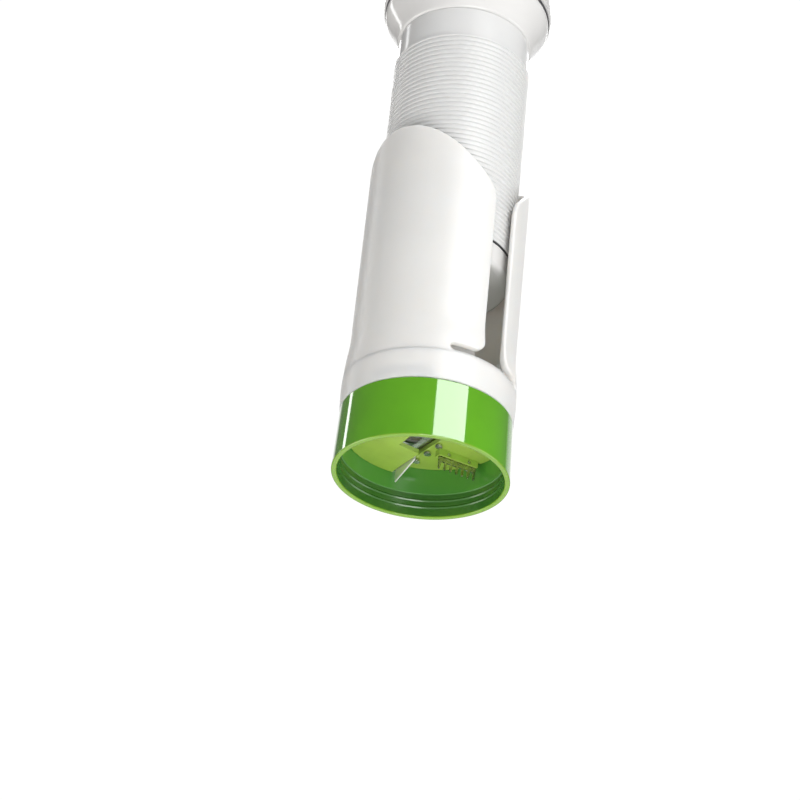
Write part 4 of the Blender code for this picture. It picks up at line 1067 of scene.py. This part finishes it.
class SPIRALIZER_OT_body(bpy.types.Operator):
    """Build the white collar and the two sprung grips, with the half nuts inside them"""

    bl_idname = "spiralizer.body"
    bl_label = "Body and Grips"

    def execute(self, context):
        settings = context.scene.spiralizer_body
        plunger = context.scene.spiralizer_plunger
        white = satin_white(settings.white)
        settle(collar(white), "housing", "white_body", "body_collar")
        for name, turn, node, body in (("front_grip_wing", 0.0, "front_grip", "grip_front"),
                                       ("rear_grip_wing", pi, "rear_grip", "grip_rear")):
            made = grip(name, turn, settings, plunger, white)
            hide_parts(node)
            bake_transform(made)
        return {"FINISHED"}


class SPIRALIZER_OT_tube(bpy.types.Operator):
    """Wind the ribbed feed tube and join its plain neck"""

    bl_idname = "spiralizer.tube"
    bl_label = "Ribbed Tube"

    def execute(self, context):
        settings = context.scene.spiralizer_plunger
        # Painted shade: the tube's white is greyer than the body's.
        white = satin_white(settings.tube_white_with_painted_shade, "Tube white", (0.15, 0.0008), THREAD_TOP)
        settle(feed_tube(settings, white), "plunger", "white_body", "feed_tube")
        return {"FINISHED"}


class SPIRALIZER_OT_food_holder(bpy.types.Operator):
    """Build the glide ring, the food holder and its prongs"""

    bl_idname = "spiralizer.food_holder"
    bl_label = "Food Holder"

    def execute(self, context):
        settings = context.scene.spiralizer_plunger
        gloss = gloss_white("Holder white", settings.gloss_white)
        settle(food_holder(settings, gloss), "plunger", "white_gloss", "food_holder")
        steel = ground_steel("Prong steel", 0.3)
        settle(prong_plate(settings, steel), "plunger", "steel", "prong_plate")
        dark = dull_finish("Dark plastic", (0.05, 0.05, 0.055), 0.35, 0.5, 1500.0)
        top, low = 105.85, 105.25
        ring = new_object("glide", turned(rounded(mm((30.0, top, 0.15), (30.0, low, 0.15), (27.7, low, 0),
                                                     (27.7, top, 0))), 96), dark)
        settle(crisp(ring), "glide", "dark_grey", "glide_ring")
        return {"FINISHED"}


class SPIRALIZER_OT_screws(bpy.types.Operator):
    """Place the screws of the prong plate and of the knob"""

    bl_idname = "spiralizer.screws"
    bl_label = "Screws"

    def execute(self, context):
        steel = ground_steel("Screw steel", 0.0)
        prong = screw_ring("prong_screws", PRONG_SCREW_CIRCLE, 92.4 * MM, 5.0, True, steel)
        settle(prong, "plunger", "steel", *[f"prong_screw_{k}" for k in (1, 2, 3)])
        knob = screw_ring("knob_screws", KNOB_SCREW_CIRCLE, 225.3 * MM, 6.0, False, steel)
        settle(knob, "plunger", "steel", *[f"knob_screw_{k}" for k in (1, 2, 3)])
        return {"FINISHED"}


class SPIRALIZER_OT_knob(bpy.types.Operator):
    """Turn the flared knob shell, the trim ring in its seam and its cap"""

    bl_idname = "spiralizer.knob"
    bl_label = "Knob"

    def execute(self, context):
        settings = context.scene.spiralizer_plunger
        gloss = gloss_white("Knob white", settings.gloss_white)
        dark = dull_finish("Dark trim", (0.05, 0.05, 0.055), 0.3, 0.45, 1500.0)
        shell, trim, cap = knob_parts(settings, gloss, dark)
        settle(shell, "plunger", "white_gloss", "knob_shell")
        settle(trim, "plunger", "dark_grey", "knob_trim_ring")
        settle(cap, "plunger", "white_gloss", "knob_cap")
        return {"FINISHED"}


class SPIRALIZER_OT_head(bpy.types.Operator):
    """Turn the green cutter head and its soft seal"""

    bl_idname = "spiralizer.head"
    bl_label = "Cutter Head"

    def execute(self, context):
        settings = context.scene.spiralizer_head
        green = glossy_green(tuple(settings.green), tuple(settings.inside_green_painted_shade), settings.mouth_radius,
                             settings.ledge_height)
        settle(head_shell(settings, green), "cutter_head", "green_head", "cutter_head_shell")
        soft = dull_finish("Seal silicone", (0.42, 0.43, 0.43), 0.5, 0.65, 900.0)
        low = SPIGOT_TOP + 2 * SEAT
        seal = new_object("seal", turned(rounded([
            (34.1 * MM, low + 0.9 * MM, 0.3 * MM), (34.1 * MM, low, 0.3 * MM), (32.0 * MM, low, 0.3 * MM),
            (32.0 * MM, low + 0.9 * MM, 0.3 * MM)])), soft)
        settle(crisp(seal), "housing", "seal_grey", "head_seal")
        return {"FINISHED"}


class SPIRALIZER_OT_blades(bpy.types.Operator):
    """Build the ramped cutting plate, the ribbon blade with its rivets and the comb blade with its pins"""

    bl_idname = "spiralizer.blades"
    bl_label = "Cutting Plate and Blades"

    def execute(self, context):
        settings = context.scene.spiralizer_head
        lime = lime_plastic(tuple(settings.lime))
        plate = refined("ramped_plate", "cutting_plate", lime, 0.2 * MM)
        settle(plate, "cutter_head", "lime_plate", "cutting_plate")
        steel = ground_steel("Blade steel", -BLADE_DIRECTION)
        settle(refined("ribbon_knife", "ribbon_blade", steel, 0.06 * MM), "cutter_head", "steel", "ribbon_blade")
        # Painted highlight: the strip's steel is whitened and made less metallic, so that it shows bright like a
        # lit reflection.
        satin = ground_steel("Satin strip steel", -BLADE_DIRECTION, (0.80, 0.79, 0.76), (0.88, 0.87, 0.85),
                             rough=0.42, metallic=0.6)
        settle(refined("edge_strip", "slice_guide", satin, 0.06 * MM), "cutter_head", "steel", "slice_guide")
        # Painted reflection: the comb's steel is darker than the other steel, standing for the dark surroundings it
        # reflects.
        comb_steel_painted_dark_reflection = ground_steel("Comb steel", -COMB_DIRECTION, (0.34, 0.32, 0.29), (0.58, 0.56, 0.52))
        settle(comb(settings, comb_steel_painted_dark_reflection), "cutter_head", "steel", "comb_blade")
        fastener_steel = ground_steel("Rivet steel", 0.0)
        for name, nodes in (("ribbon_rivet", 3), ("comb_pin", 2)):
            for k in range(1, nodes + 1):
                made = refined(f"fine_{name}_{k}", f"{name}_{k}", fastener_steel, 0.08 * MM)
                settle(made, "cutter_head", "steel", f"{name}_{k}")
        return {"FINISHED"}


OPERATORS = (SPIRALIZER_OT_stage, SPIRALIZER_OT_body, SPIRALIZER_OT_tube, SPIRALIZER_OT_food_holder,
             SPIRALIZER_OT_screws, SPIRALIZER_OT_knob, SPIRALIZER_OT_head, SPIRALIZER_OT_blades)
SETTINGS = {"spiralizer_stage": StageSettings, "spiralizer_body": BodySettings,
            "spiralizer_plunger": PlungerSettings, "spiralizer_head": HeadSettings}


class SPIRALIZER_PT_panel(bpy.types.Panel):
    """The pieces, in the order in which they are built, and their sizes and colours"""

    bl_label = "Spiralizer"
    bl_idname = "SPIRALIZER_PT_panel"
    bl_space_type = "VIEW_3D"
    bl_region_type = "UI"
    bl_category = "Spiralizer"

    def draw(self, context):
        for operator in OPERATORS:
            self.layout.operator(operator.bl_idname)
        for group in SETTINGS:
            box = self.layout.box()
            settings = getattr(context.scene, group)
            for name in type(settings).__annotations__:
                box.prop(settings, name)


def register():
    for group in SETTINGS.values():
        bpy.utils.register_class(group)
    for name, group in SETTINGS.items():
        setattr(bpy.types.Scene, name, PointerProperty(type=group))
    for operator in OPERATORS:
        bpy.utils.register_class(operator)
    bpy.utils.register_class(SPIRALIZER_PT_panel)


def unregister():
    bpy.utils.unregister_class(SPIRALIZER_PT_panel)
    for operator in reversed(OPERATORS):
        bpy.utils.unregister_class(operator)
    for name, group in SETTINGS.items():
        delattr(bpy.types.Scene, name)
        bpy.utils.unregister_class(group)


def main():
    """Register, then build every piece in order."""
    register()
    bpy.ops.spiralizer.stage()
    bpy.ops.spiralizer.body()
    bpy.ops.spiralizer.tube()
    bpy.ops.spiralizer.food_holder()
    bpy.ops.spiralizer.screws()
    bpy.ops.spiralizer.knob()
    bpy.ops.spiralizer.head()
    bpy.ops.spiralizer.blades()


if __name__ == "__main__":
    main()
